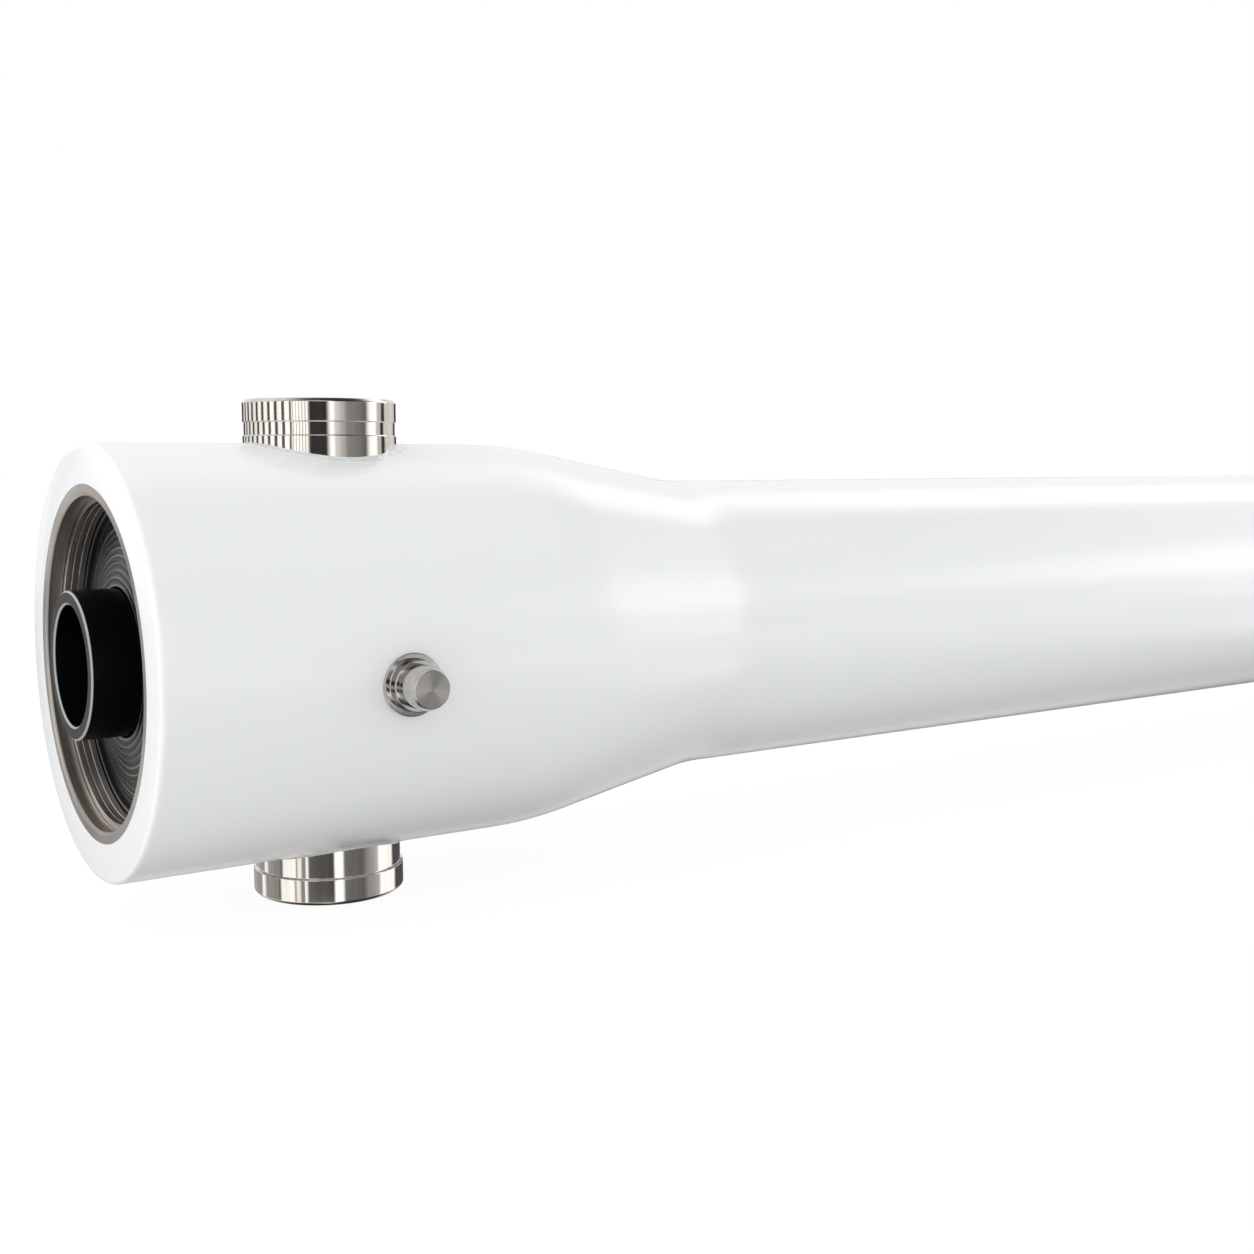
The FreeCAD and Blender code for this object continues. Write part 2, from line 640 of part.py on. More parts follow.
def make_thrust_cone():
    """Windowed cone that carries the membranes' thrust to the downstream plate."""
    base = f"{SEAL_PLATE_BACK} + bond_gap"
    body = new_body("far_thrust_cone")
    turned(body, "thrust_cone", [
        (base, CONE_BASE),
        (base, f"{CONE_BASE} + cone_wall"),
        (f"{base} + cone_length", f"{BORE} - cone_end_inset"),
        (f"{base} + cone_length", f"{BORE} - cone_end_inset - cone_wall"),
    ])
    window = new_sketch(body, "cone_window_outline", "XY_Plane")
    low = f"{base} + (cone_length - cone_window_length) / 2"
    high = f"{base} + (cone_length + cone_window_length) / 2"
    outline(window, [
        (low, "-cone_window_width / 2"),
        (high, "-cone_window_width / 2"),
        (high, "cone_window_width / 2"),
        (low, "cone_window_width / 2"),
    ])
    cut = pocket(body, "cone_window", window, both_ways=True)
    pairs = number("window_pair_count")
    ring_of(body, "cone_windows", [cut], "window_pair_count", degrees=180 - 180 / pairs)
    place_at_end(body, "far")


# Side nozzles


def place_nozzle_piece(body, end, level):
    side = ENDS[end][0]
    flip = 0 if level == "upper" else 180
    body.Placement = Placement(Vector(0, 0, 0), Rotation(Vector(1, 0, 0), flip))
    bind(body, "Placement.Base.x", f"{side} * (shell_length / 2 - nozzle_station)")


def make_nozzle(end, level):
    inner = f"{NOZZLE} - nozzle_wall"
    neck = f"{NOZZLE} - nozzle_groove_depth"
    lip = f"{NOZZLE_RIM} - {level}_lip"
    shank_seal = f"{NOZZLE} - nozzle_seal_depth"
    # drawn from inside the bore, and then cut to the bore's curve
    flange_low = f"{BORE} / 2"
    body = new_body(f"{end}_{level}_nozzle")
    turned(body, f"{end}_{level}_tube", [
        (inner, flange_low),
        (inner, NOZZLE_RIM),
        (NOZZLE, NOZZLE_RIM),
        (NOZZLE, lip),
        (neck, lip),
        (neck, f"{lip} - {level}_groove"),
        (NOZZLE, f"{lip} - {level}_groove"),
        (NOZZLE, f"{NOZZLE_SEAL} + nozzle_seal_width"),
        (shank_seal, f"{NOZZLE_SEAL} + nozzle_seal_width"),
        (shank_seal, NOZZLE_SEAL),
        (NOZZLE, NOZZLE_SEAL),
        (NOZZLE, NOZZLE_SEAT),
        (NOZZLE_FLANGE, NOZZLE_SEAT),
        (NOZZLE_FLANGE, flange_low),
    ], axis="V_Axis")
    rim = round_edges(body, 2, number(NOZZLE_RIM), number(NOZZLE))
    rounded(body, f"{end}_{level}_rim", rim, "nozzle_rounding")
    saddle = new_sketch(body, f"{end}_{level}_saddle_outline", "YZ_Plane")
    circle(saddle, "0", "0", f"{BORE} + seal_gap")
    pocket(body, f"{end}_{level}_saddle", saddle, both_ways=True)
    place_nozzle_piece(body, end, level)


def make_nozzle_seal(end, level):
    start = f"{NOZZLE_SEAL} + bond_gap"
    stop = f"{NOZZLE_SEAL} + nozzle_seal_width - bond_gap"
    body = new_body(f"{end}_{level}_nozzle_seal")
    turned(body, f"{end}_{level}_seal_ring", [
        (f"{NOZZLE} - nozzle_seal_depth + bond_gap", start),
        (NOZZLE, start),
        (NOZZLE, stop),
        (f"{NOZZLE} - nozzle_seal_depth + bond_gap", stop),
    ], axis="V_Axis")
    place_nozzle_piece(body, end, level)


def make_resin(end, level):
    """Resin fillet: a head and a nozzle are filleted, and then both are taken away."""
    tube = NOZZLE
    if level == "lower":
        tube = f"{NOZZLE} - nozzle_groove_depth"
    body = new_body(f"{end}_{level}_resin_fillet")
    name = f"{end}_{level}_resin"
    head = new_sketch(body, name + "_head_outline", "YZ_Plane")
    circle(head, "0", "0", HEAD)
    head_pad = body.newObject("PartDesign::Pad", name + "_head")
    head_pad.Profile = head
    head_pad.SideType = "Symmetric"
    bind(head_pad, "Length", "2 * nozzle_diameter")
    stub = new_sketch(body, name + "_stub_outline", "XY_Plane")
    circle(stub, "0", "0", tube)
    stub_pad = body.newObject("PartDesign::Pad", name + "_stub")
    stub_pad.Profile = stub
    bind(stub_pad, "Length", NOZZLE_RIM)
    doc.recompute()
    seam = []
    for index, edge in enumerate(body.Tip.Shape.Edges, start=1):
        samples = edge.discretize(7)
        on_head = all(abs(Vector(0, p.y, p.z).Length - number(HEAD)) < SAME for p in samples)
        on_tube = all(abs(Vector(p.x, p.y, 0).Length - number(tube)) < SAME for p in samples)
        if on_head and on_tube:
            seam.append(f"Edge{index}")
    rounded(body, name + "_fillet", seam, f"{level}_resin_radius")
    hollow = new_sketch(body, name + "_hollow_outline", "XY_Plane")
    circle(hollow, "0", "0", f"{tube} + bond_gap")
    pocket(body, name + "_hollow", hollow, away=True)
    under = new_sketch(body, name + "_under_outline", "YZ_Plane")
    circle(under, "0", "0", f"{HEAD} + bond_gap")
    pocket(body, name + "_under", under, both_ways=True)
    place_nozzle_piece(body, end, level)


# Sample fitting


def make_boss(end):
    inner_end = f"-({BORE} + boss_cover)"
    flange_face = f"-({HEAD} + boss_flange_rise)"
    hole_end = f"-{BOSS_FACE} + plug_shank_length + thread_run_out"
    body = new_body(end + "_sample_boss")
    turned(body, end + "_boss", [
        ("sample_passage / 2", inner_end),
        (BOSS_SHANK, inner_end),
        (BOSS_SHANK, f"-{BOSS_SEAT}"),
        (BOSS_FLANGE, f"-{BOSS_SEAT}"),
        (BOSS_FLANGE, flange_face),
        (BOSS, flange_face),
        (BOSS, f"-{BOSS_FACE}"),
        (f"{FITTING_HOLE} + plug_seal_width", f"-{BOSS_FACE}"),
        (f"{FITTING_HOLE} + plug_seal_width", f"-{BOSS_FACE} + plug_seal_height"),
        (FITTING_HOLE, f"-{BOSS_FACE} + plug_seal_height"),
        (FITTING_HOLE, hole_end),
        ("sample_passage / 2", hole_end),
    ], plane="XY_Plane", axis="V_Axis")
    place_at_end(body, end, "fitting_station", "fitting_drop")


def make_plug(end):
    under_head = f"-{BOSS_FACE} - bond_gap"
    shoulder = f"{under_head} - plug_head_height"
    body = new_body(end + "_sample_plug")
    turned(body, end + "_plug", [
        ("0", f"{under_head} + plug_shank_length"),
        ("plug_shank_diameter / 2", f"{under_head} + plug_shank_length"),
        ("plug_shank_diameter / 2", under_head),
        (PLUG_HEAD, under_head),
        (PLUG_HEAD, shoulder),
        (f"{PLUG_HEAD} - plug_crown_inset", f"{shoulder} - plug_crown_height"),
        ("0", f"{shoulder} - plug_crown_height"),
    ], plane="XY_Plane", axis="V_Axis")
    place_at_end(body, end, "fitting_station", "fitting_drop")


def make_plug_seal(end):
    body = new_body(end + "_plug_seal")
    turned(body, end + "_plug_ring", [
        (f"{FITTING_HOLE} + bond_gap", f"-{BOSS_FACE} + plug_seal_height - bond_gap"),
        (f"{FITTING_HOLE} + bond_gap", f"-{BOSS_FACE}"),
        (f"{FITTING_HOLE} + plug_seal_width - seal_gap", f"-{BOSS_FACE}"),
        (f"{FITTING_HOLE} + plug_seal_width - seal_gap", f"-{BOSS_FACE} + plug_seal_height - bond_gap"),
    ], plane="XY_Plane", axis="V_Axis")
    place_at_end(body, end, "fitting_station", "fitting_drop")


# Build, check and write

make_shell()
for end_name in ENDS:
    make_insert(end_name)
    for level_name in ("upper", "lower"):
        make_nozzle(end_name, level_name)
        make_nozzle_seal(end_name, level_name)
        make_resin(end_name, level_name)
    make_boss(end_name)
    make_plug(end_name)
    make_plug_seal(end_name)
    make_closure(end_name)
make_thrust_cone()
doc.recompute()

for item in doc.Objects:
    if "Invalid" in item.State or "Error" in item.State:
        raise RuntimeError(f"{item.Label} failed: {item.State}")
for node in nodes:
    if node.Shape.isNull() or not node.Shape.isValid() or not node.Shape.Solids:
        raise RuntimeError(f"{node.Label} has no valid solid")

os.makedirs("parts", exist_ok=True)
for node in nodes:
    node.Shape.exportStep(f"parts/{node.Label}.step")
    box = node.Shape.BoundBox
    print(node.Label, len(node.Shape.Solids), round(node.Shape.Volume),
          [round(v, 1) for v in (box.XMin, box.XMax, box.YMin, box.YMax, box.ZMin, box.ZMax)])
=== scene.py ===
import json
import math

import bmesh
import bpy
from mathutils import Matrix, Vector, noise


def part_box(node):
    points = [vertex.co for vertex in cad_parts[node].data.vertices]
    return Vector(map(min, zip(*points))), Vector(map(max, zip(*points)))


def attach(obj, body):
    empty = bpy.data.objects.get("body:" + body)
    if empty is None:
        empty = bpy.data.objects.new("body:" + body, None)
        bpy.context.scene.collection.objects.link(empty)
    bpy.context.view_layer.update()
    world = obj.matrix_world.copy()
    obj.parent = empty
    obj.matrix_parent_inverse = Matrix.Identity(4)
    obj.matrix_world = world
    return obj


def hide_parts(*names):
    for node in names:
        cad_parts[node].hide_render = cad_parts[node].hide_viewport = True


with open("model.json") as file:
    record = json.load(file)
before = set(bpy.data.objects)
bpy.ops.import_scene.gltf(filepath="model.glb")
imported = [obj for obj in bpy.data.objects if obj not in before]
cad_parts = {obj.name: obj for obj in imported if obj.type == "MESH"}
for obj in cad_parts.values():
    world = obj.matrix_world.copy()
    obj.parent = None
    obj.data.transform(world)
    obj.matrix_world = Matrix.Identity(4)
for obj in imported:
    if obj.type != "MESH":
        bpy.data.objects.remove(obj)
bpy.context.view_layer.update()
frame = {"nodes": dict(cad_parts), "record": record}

bl_info = {
    "name": "Membrane housing",
    "version": (1, 0, 0),
    "blender": (4, 5, 0),
    "location": "3D View > Sidebar > Housing",
    "description": "Dresses a side-port membrane pressure vessel and its studio",
    "category": "Object",
}

# What the frame says: half the shell's length, its head radius, and the stations of what is on it.
SHELL_LOW, SHELL_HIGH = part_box("shell")
HALF_LENGTH = SHELL_HIGH[0]
HEAD_RADIUS = SHELL_HIGH[2]
NOZZLE_LOW, NOZZLE_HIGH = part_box("near_upper_nozzle")
NOZZLE_STATION = (NOZZLE_LOW[0] + NOZZLE_HIGH[0]) / 2 + HALF_LENGTH
NOZZLE_REACH = NOZZLE_HIGH[2]
PLUG_LOW, PLUG_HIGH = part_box("near_sample_plug")
FITTING_STATION = (PLUG_LOW[0] + PLUG_HIGH[0]) / 2 + HALF_LENGTH
FITTING_LEVEL = (PLUG_LOW[2] + PLUG_HIGH[2]) / 2
FITTING_REACH = -PLUG_LOW[1]
PORT_LOW, PORT_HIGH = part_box("near_product_port")
PORT_PROUD = -HALF_LENGTH - PORT_LOW[0]
FLOOR_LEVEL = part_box("near_lower_nozzle")[0][2]

ENDS = {
    "near": Matrix.Translation((-HALF_LENGTH, 0, 0)),
    "far": Matrix.Translation((HALF_LENGTH, 0, 0)) @ Matrix.Rotation(math.pi, 4, "Z"),
}
ROOT = "shell_assembly"
RING_TURNS = 3
WALL_GAP = 0.0003  # between a nozzle's inner end and the bore's wall
FACE_GAP = 0.0001  # between the plug's head and the boss
AXIS_HOLE = 0.0002  # radius where a turned solid is left open round its axis


def length(name, value, description):
    return bpy.props.FloatProperty(
        name=name, description=description, default=value, unit="LENGTH", subtype="DISTANCE", precision=5)


def colour(name, value, description):
    return bpy.props.FloatVectorProperty(
        name=name, description=description, default=value, size=3, min=0, max=1, subtype="COLOR")


class HousingSizes(bpy.types.PropertyGroup):
    """Sizes of the shell, its mouths, nozzles and fittings, in metres."""

    barrel_radius: length("Barrel radius", 0.118, "Outside of the barrel between the heads")
    bore_radius: length("Bore radius", 0.101, "Bore that the membranes slide in")
    head_length: length("Head length", 0.311, "End face to the sharp start of the taper")
    taper_length: length("Taper length", 0.157, "Length of the taper")
    shoulder_blend: length("Shoulder blend", 0.316, "Rounding where head meets taper")
    neck_blend: length("Neck blend", 0.190, "Rounding where taper meets barrel")
    mouth_rounding: length("Mouth rounding", 0.004, "Rounding of the end face's outer edge")
    insert_radius: length("Insert radius", 0.120, "Locking insert at the mouth")
    land_radius: length("Land radius", 0.112, "Inside of the locking insert")
    insert_depth: length("Insert depth", 0.066, "End face to the insert's inner end")
    lead_in: length("Lead-in", 0.009, "Ramp from the insert's land down to the bore")
    mouth_chamfer: length("Mouth chamfer", 0.002, "Chamfer at the insert's mouth, across the bore")
    mouth_chamfer_depth: length("Mouth chamfer depth", 0.0016, "The same chamfer, along the bore")
    groove_start: length("Groove start", 0.0108, "Depth of the retaining groove's outer side")
    groove_end: length("Groove end", 0.0249, "Depth of the retaining groove's inner side")
    groove_floor: length("Groove floor", 0.1176, "Radius of the retaining groove's floor")
    ring_start: length("Ring start", 0.011, "Depth of the retaining ring's outer side")
    ring_gap: length("Ring gap", 0.0002, "Gap between the ring and the groove's floor")
    wire_depth: length("Wire depth", 0.0045, "Retaining ring wire, along the bore")
    wire_width: length("Wire width", 0.0094, "Retaining ring wire, across the bore")
    wire_pitch: length("Wire pitch", 0.0046, "One turn of the ring to the next")
    plate_rim: length("Plate rim", 0.0249, "Depth of the bearing plate's rim")
    plate_thickness: length("Plate thickness", 0.027, "Bearing plate from rim to back")
    plate_radius: length("Plate radius", 0.1115, "Outside of the bearing plate")
    rim_width: length("Rim width", 0.0075, "Flat rim of the bearing plate")
    rim_step: length("Rim step", 0.0035, "Step from the rim down to the dished face")
    hub_rise: length("Hub rise", 0.009, "Height of the hub above the foot of the step")
    hub_width: length("Hub width", 0.008, "Flat of the hub round the port")
    port_radius: length("Port radius", 0.0499, "Outside of the product port")
    port_bore: length("Port bore radius", 0.0406, "Inside of the product port")
    port_chamfer: length("Port chamfer", 0.0012, "Chamfers of the port's front rim")
    port_gap: length("Port gap", 0.0009, "Gap round the port in the bearing plate")
    port_bore_end: length("Port bore end", 0.076, "Depth of the port's inner web")
    port_flange: length("Port flange radius", 0.062, "Flange of the port behind the sealing plate")
    port_flange_width: length("Port flange width", 0.008, "Thickness of that flange")
    socket_radius: length("Socket radius", 0.024, "Outside of the adapter's socket")
    socket_bore: length("Socket bore radius", 0.017, "Inside of the adapter's socket")
    sealing_plate: length("Sealing plate", 0.032, "Thickness of the sealing plate")
    nozzle_radius: length("Nozzle radius", 0.054, "Outside of a side nozzle")
    nozzle_bore: length("Nozzle bore radius", 0.048, "Inside of a side nozzle")
    nozzle_chamfer: length("Nozzle chamfer", 0.0023, "Chamfer of a side nozzle's open end")
    nozzle_seat: length("Nozzle seat", 0.109, "Shell axis to the seat of a nozzle's inner flange")
    nozzle_flange: length("Nozzle flange radius", 0.061, "Inner flange of a side nozzle")
    upper_inset: length("Upper inset", 0.0009, "Depth of an upper nozzle's coupling groove")
    lower_inset: length("Lower inset", 0.0021, "Depth of a lower nozzle's neck")
    upper_lip: length("Upper lip", 0.016, "Lip of an upper nozzle")
    upper_groove: length("Upper groove", 0.0095, "Coupling groove of an upper nozzle")
    lower_lip: length("Lower lip", 0.019, "Lip of a lower nozzle")
    lower_groove: length("Lower neck", 0.029, "Plain neck of a lower nozzle")
    upper_resin: length("Upper resin", 0.008, "Resin fillet round an upper nozzle")
    lower_resin: length("Lower resin", 0.004, "Resin bead round a lower nozzle")
    boss_foot: length("Boss foot", 0.104, "Shell axis to the boss's inner end")
    boss_passage: length("Boss passage radius", 0.0035, "Water passage of the boss")
    boss_shank: length("Boss shank radius", 0.013, "Boss inside the wall")
    boss_flange_back: length("Boss flange back", 0.1434, "Shell axis to the back of the flange")
    boss_flange: length("Boss flange radius", 0.021, "Flange of the sample boss")
    boss_flange_face: length("Boss flange face", 0.149, "Shell axis to the flange's face")
    boss_radius: length("Boss radius", 0.0172, "Sample boss")
    boss_face: length("Boss face", 0.157, "Shell axis to the boss's face")
    boss_socket: length("Boss socket radius", 0.0123, "Recess for the plug's ring")
    boss_socket_floor: length("Boss socket floor", 0.1546, "Shell axis to that recess's floor")
    boss_thread: length("Boss thread radius", 0.0099, "Threaded hole of the boss")
    boss_thread_end: length("Boss thread end", 0.140, "Shell axis to that hole's end")
    plug_shank: length("Plug shank radius", 0.0098, "Threaded shank of the plug")
    plug_shank_length: length("Plug shank length", 0.015, "Length of that shank")
    plug_radius: length("Plug radius", 0.0144, "Sample plug's head")
    plug_crown: length("Plug crown radius", 0.0124, "Turned face of the plug")
    plug_crown_height: length("Plug crown height", 0.005, "Conical crown of the plug")


class HousingColours(bpy.types.PropertyGroup):
    """Base colours of the finishes."""

    paint: colour("Paint", (0.885, 0.903, 0.908), "Gloss white paint of the shell")
    resin: colour("Resin", (0.88, 0.896, 0.90), "White resin round the nozzles")
    nozzle_steel: colour("Nozzle steel", (0.71, 0.67, 0.62), "Polished stainless of the nozzles")
    insert_steel: colour("Insert steel", (0.60, 0.555, 0.51), "Machined stainless of the mouth")
    fitting_steel: colour("Fitting steel", (0.56, 0.54, 0.515), "Turned stainless of the small fittings")
    plate: colour("Plate", (0.045, 0.045, 0.047), "Dark turned bearing plate")
    plastic: colour("Plastic", (0.0012, 0.0016, 0.003), "Satin black engineering plastic")
    cut_plastic: colour("Cut plastic", (0.046, 0.046, 0.047), "Cut front face of the product port")
    rubber: colour("Rubber", (0.012, 0.012, 0.012), "Rubber of the seals")
    floor: colour("Floor", (0.81, 0.81, 0.81), "Studio floor, as the vessel sees it")


# Shader maths


class Wire:
    """A node socket that arithmetic can be written with."""

    def __init__(self, shader, socket):
        self.shader = shader
        self.socket = socket

    def maths(self, operation, first, second):
        return self.shader.node("ShaderNodeMath", {"operation": operation}, {0: first, 1: second})

    def __add__(self, other):
        return self.maths("ADD", self, other)

    def __radd__(self, other):
        return self.maths("ADD", other, self)

    def __sub__(self, other):
        return self.maths("SUBTRACT", self, other)

    def __rsub__(self, other):
        return self.maths("SUBTRACT", other, self)

    def __mul__(self, other):
        return self.maths("MULTIPLY", self, other)

    def __rmul__(self, other):
        return self.maths("MULTIPLY", other, self)

    def __truediv__(self, other):
        return self.maths("DIVIDE", self, other)

    def __rtruediv__(self, other):
        return self.maths("DIVIDE", other, self)

    def __pow__(self, other):
        return self.maths("POWER", self, other)

    def __rpow__(self, other):
        return self.maths("POWER", other, self)


class Shader:
    """Builds one node tree. Every node comes from node()."""

    def __init__(self, tree):
        self.tree = tree
        tree.nodes.clear()

    def node(self, kind, settings=None, sockets=None, out=0):
        made = self.tree.nodes.new(kind)
        for key, value in (settings or {}).items():
            if key == "stops":
                ramp = made.color_ramp
                while len(ramp.elements) < len(value):
                    ramp.elements.new(1)
                for element, (place, tint) in zip(ramp.elements, value):
                    element.position = place
                    element.color = (tint, tint, tint, 1)
            else:
                setattr(made, key, value)
        for key, value in (sockets or {}).items():
            socket = made.inputs[key]
            if isinstance(value, Wire):
                self.tree.links.new(value.socket, socket)
            elif socket.type == "RGBA" and len(value) == 3:
                socket.default_value = (*value, 1)
            else:
                socket.default_value = value
        return Wire(self, made.outputs[out]) if len(made.outputs) else None

    def place(self):
        """Object coordinates as one vector."""
        return self.node("ShaderNodeTexCoord", out="Object")

    def split(self, vector):
        """The three numbers of a vector."""
        parts = self.node("ShaderNodeSeparateXYZ", sockets={0: vector}).socket.node
        return [Wire(self, output) for output in parts.outputs]

    def function(self, operation, value, second=0.0):
        """A Math node that has no operator."""
        return self.node("ShaderNodeMath", {"operation": operation}, {0: value, 1: second})

    def speckle(self, vector, scale, detail=3.0, roughness=0.55):
        return self.node("ShaderNodeTexNoise", sockets={
            "Vector": vector, "Scale": scale, "Detail": detail, "Roughness": roughness})

    def stretched(self, vector, scale):
        return self.node("ShaderNodeMapping", sockets={"Vector": vector, "Scale": scale})

    def ramp(self, value, stops):
        """Grey by straight lines between stops of (place, brightness)."""
        return self.node("ShaderNodeValToRGB", {"stops": stops}, {0: value})

    def step(self, value, low, high):
        """0 below low, 1 above high, and smooth between."""
        return self.node("ShaderNodeMapRange", {"clamp": True, "interpolation_type": "SMOOTHSTEP"}, {
            "Value": value, "From Min": low, "From Max": high})

    def tint(self, mask, first, second):
        """The first colour where mask is 0, the second where it is 1."""
        return self.node("ShaderNodeMix", {"data_type": "RGBA"}, {0: mask, 6: first, 7: second}, out=2)

    def bump(self, height, strength, distance):
        return self.node("ShaderNodeBump", sockets={
            "Height": height, "Strength": strength, "Distance": distance})

    def principled(self, **sockets):
        named = {key.replace("_", " ").title().replace("Ior", "IOR"): value for key, value in sockets.items()}
        surface = self.node("ShaderNodeBsdfPrincipled", sockets=named)
        self.node("ShaderNodeOutputMaterial", sockets={"Surface": surface})


def scaled(base, factor):
    """A lighter or darker colour."""
    return tuple(min(1.0, factor * channel) for channel in base)


def new_material(name):
    material = bpy.data.materials.new(name)
    material.use_nodes = True
    return material, Shader(material.node_tree)


def paint_material(name, base):
    """Gloss paint over wound fibre: soft shade variation and a faint crossing winding."""
    material, shader = new_material(name)
    whole = shader.place()
    x, y, z = shader.split(whole)
    cloud = shader.speckle(whole, 5.0, 2.0)
    fine = shader.speckle(whole, 190.0, 2.0)
    turn = shader.function("ARCTAN2", y, z)
    one_way = shader.function("SINE", x * 900.0 + turn * 40.0)
    other_way = shader.function("SINE", x * 900.0 - turn * 40.0)
    winding = one_way * other_way
    shade = shader.tint(cloud, scaled(base, 0.985), scaled(base, 1.01))
    relief = fine * 0.6 + winding * 0.25
    shader.principled(
        base_color=shade, roughness=cloud * 0.06 + 0.20, coat_weight=0.35, coat_roughness=0.12,
        specular_ior_level=0.5, normal=shader.bump(relief, 0.035, 0.0004))
    return material


def resin_material(name, base):
    """Hand-laid resin: glossy and lumpy."""
    material, shader = new_material(name)
    lumps = shader.speckle(shader.place(), 220.0, 1.0)
    shade = shader.tint(lumps, scaled(base, 0.96), base)
    shader.principled(
        base_color=shade, roughness=lumps * 0.10 + 0.16, coat_weight=0.4, coat_roughness=0.08,
        normal=shader.bump(lumps, 0.8, 0.002))
    return material


def steel_material(name, base, axis, roughness, grain, sheen_contrast=0.1):
    """Turned stainless: fine rings round the axis, and painted reflection streaks or bands, a shade lighter
    and darker than the base.
    """
    material, shader = new_material(name)
    whole = shader.place()
    rings = {"X": (2600, 12, 12), "Y": (12, 2600, 12), "Z": (12, 12, 2600)}[axis]
    sheen_stretch = {"X": (260, 5, 5), "Y": (160, 3, 160), "Z": (160, 160, 3)}[axis]
    lathe = shader.speckle(shader.stretched(whole, rings), 1.0, 2.0)
    patches = shader.speckle(shader.stretched(whole, sheen_stretch), 1.0, 3.0)
    smudge = shader.speckle(whole, 30.0, 3.0)
    # Painted reflection: lighter and darker streaks or bands in the colour stand in for the lathe's sheen.
    painted_sheen = shader.step(patches, 0.30, 0.70)
    shade = shader.tint(painted_sheen, scaled(base, 1 - sheen_contrast), scaled(base, 1 + sheen_contrast))
    shader.principled(
        base_color=shade, metallic=1.0,
        roughness=patches * 0.04 * grain + lathe * 0.05 * grain + smudge * 0.06 + roughness,
        normal=shader.bump(lathe, 0.05 * grain, 0.0002))
    return material


def plate_material(name, base):
    """Dark plate faced in a lathe: concentric tool marks of uneven depth, with painted highlights along some
    of them.
    """
    material, shader = new_material(name)
    whole = shader.place()
    _, y, z = shader.split(whole)
    radius = (y * y + z * z) ** 0.5
    wobble = shader.speckle(whole, 14.0, 2.0)
    band = shader.node("ShaderNodeTexNoise", {"noise_dimensions": "1D"}, {
        "W": radius, "Scale": 150.0, "Detail": 2.0})
    marks = shader.function("SINE", (radius + wobble * 0.004) * 1300.0) * 0.5 + 0.5
    # Painted highlight: the colour along the tool marks goes up to nine times lighter where they would catch
    # the light.
    light = marks ** 5.0 * shader.step(band, 0.38, 0.66)
    shade = shader.tint(light, base, scaled(base, 9.0))
    shader.principled(
        base_color=shade, metallic=0.85, roughness=light * 0.10 + 0.30,
        normal=shader.bump(marks, 0.5, 0.0008))
    return material


def plastic_material(name, base, cut, bore, outside):
    """Satin black plastic, with a paler sawn face at each port's front and painted highlights along the
    chamfered edges round it.
    """
    material, shader = new_material(name)
    whole = shader.place()
    x, y, z = shader.split(whole)
    reach = shader.function("ABSOLUTE", x)
    # The sawn face takes in the chamfers at its two edges.
    face = shader.step(reach, HALF_LENGTH + PORT_PROUD - 0.0014, HALF_LENGTH + PORT_PROUD - 0.0011)
    grain = shader.speckle(whole, 420.0, 3.0)
    cloud = shader.speckle(whole, 24.0, 2.0)
    body = shader.tint(cloud, scaled(base, 0.7), scaled(base, 1.35))
    sawn = shader.tint(grain, scaled(cut, 0.85), scaled(cut, 1.15))
    radius = (y * y + z * z) ** 0.5
    wall = (outside - bore) / 2
    from_middle = shader.function("ABSOLUTE", radius - (outside + bore) / 2)
    # Painted highlight: thin lighter lines at the sawn face's inner and outer chamfers.
    edge = shader.step(from_middle, wall - 0.0014, wall - 0.0010)
    sawn = shader.tint(edge, sawn, scaled(cut, 9.0))
    shade = shader.tint(face, body, sawn)
    shader.principled(
        base_color=shade, roughness=cloud * 0.08 + face * 0.10 + 0.34, specular_ior_level=0.12,
        normal=shader.bump(grain, 0.04, 0.0003))
    return material


def rubber_material(name, base):
    """Matt rubber with a little dust."""
    material, shader = new_material(name)
    dust = shader.speckle(shader.place(), 300.0, 3.0)
    shade = shader.tint(dust, base, scaled(base, 2.2))
    shader.principled(base_color=shade, roughness=dust * 0.2 + 0.55, normal=shader.bump(dust, 0.1, 0.0003))
    return material


def crown_material(name, base):
    """Faced end of a plug: tool rings, with the wedges of light that they fan out painted into the colour."""
    material, shader = new_material(name)
    x, _, z = shader.split(shader.place())
    across = shader.function("ABSOLUTE", x) - (HALF_LENGTH - FITTING_STATION)
    up = z - FITTING_LEVEL
    turn = shader.function("ARCTAN2", up, across)
    # Painted reflection: lighter wedges by angle round the crown's middle stand in for the tool rings'
    # glints.
    painted_glint_wedge = shader.function("SINE", turn * 2.0 + 0.6) * 0.5 + shader.function("SINE", turn * 5.0 + 2.0) * 0.3
    mask = shader.step(painted_glint_wedge, -0.7, 0.8)
    radius = (across * across + up * up) ** 0.5
    rings = shader.function("SINE", radius * 16000.0)
    shade = shader.tint(mask, scaled(base, 0.95), scaled(base, 1.18))
    shader.principled(
        base_color=shade, metallic=1.0, roughness=mask * 0.10 + 0.30, normal=shader.bump(rings, 0.12, 0.0002))
    return material


MATERIALS = {}


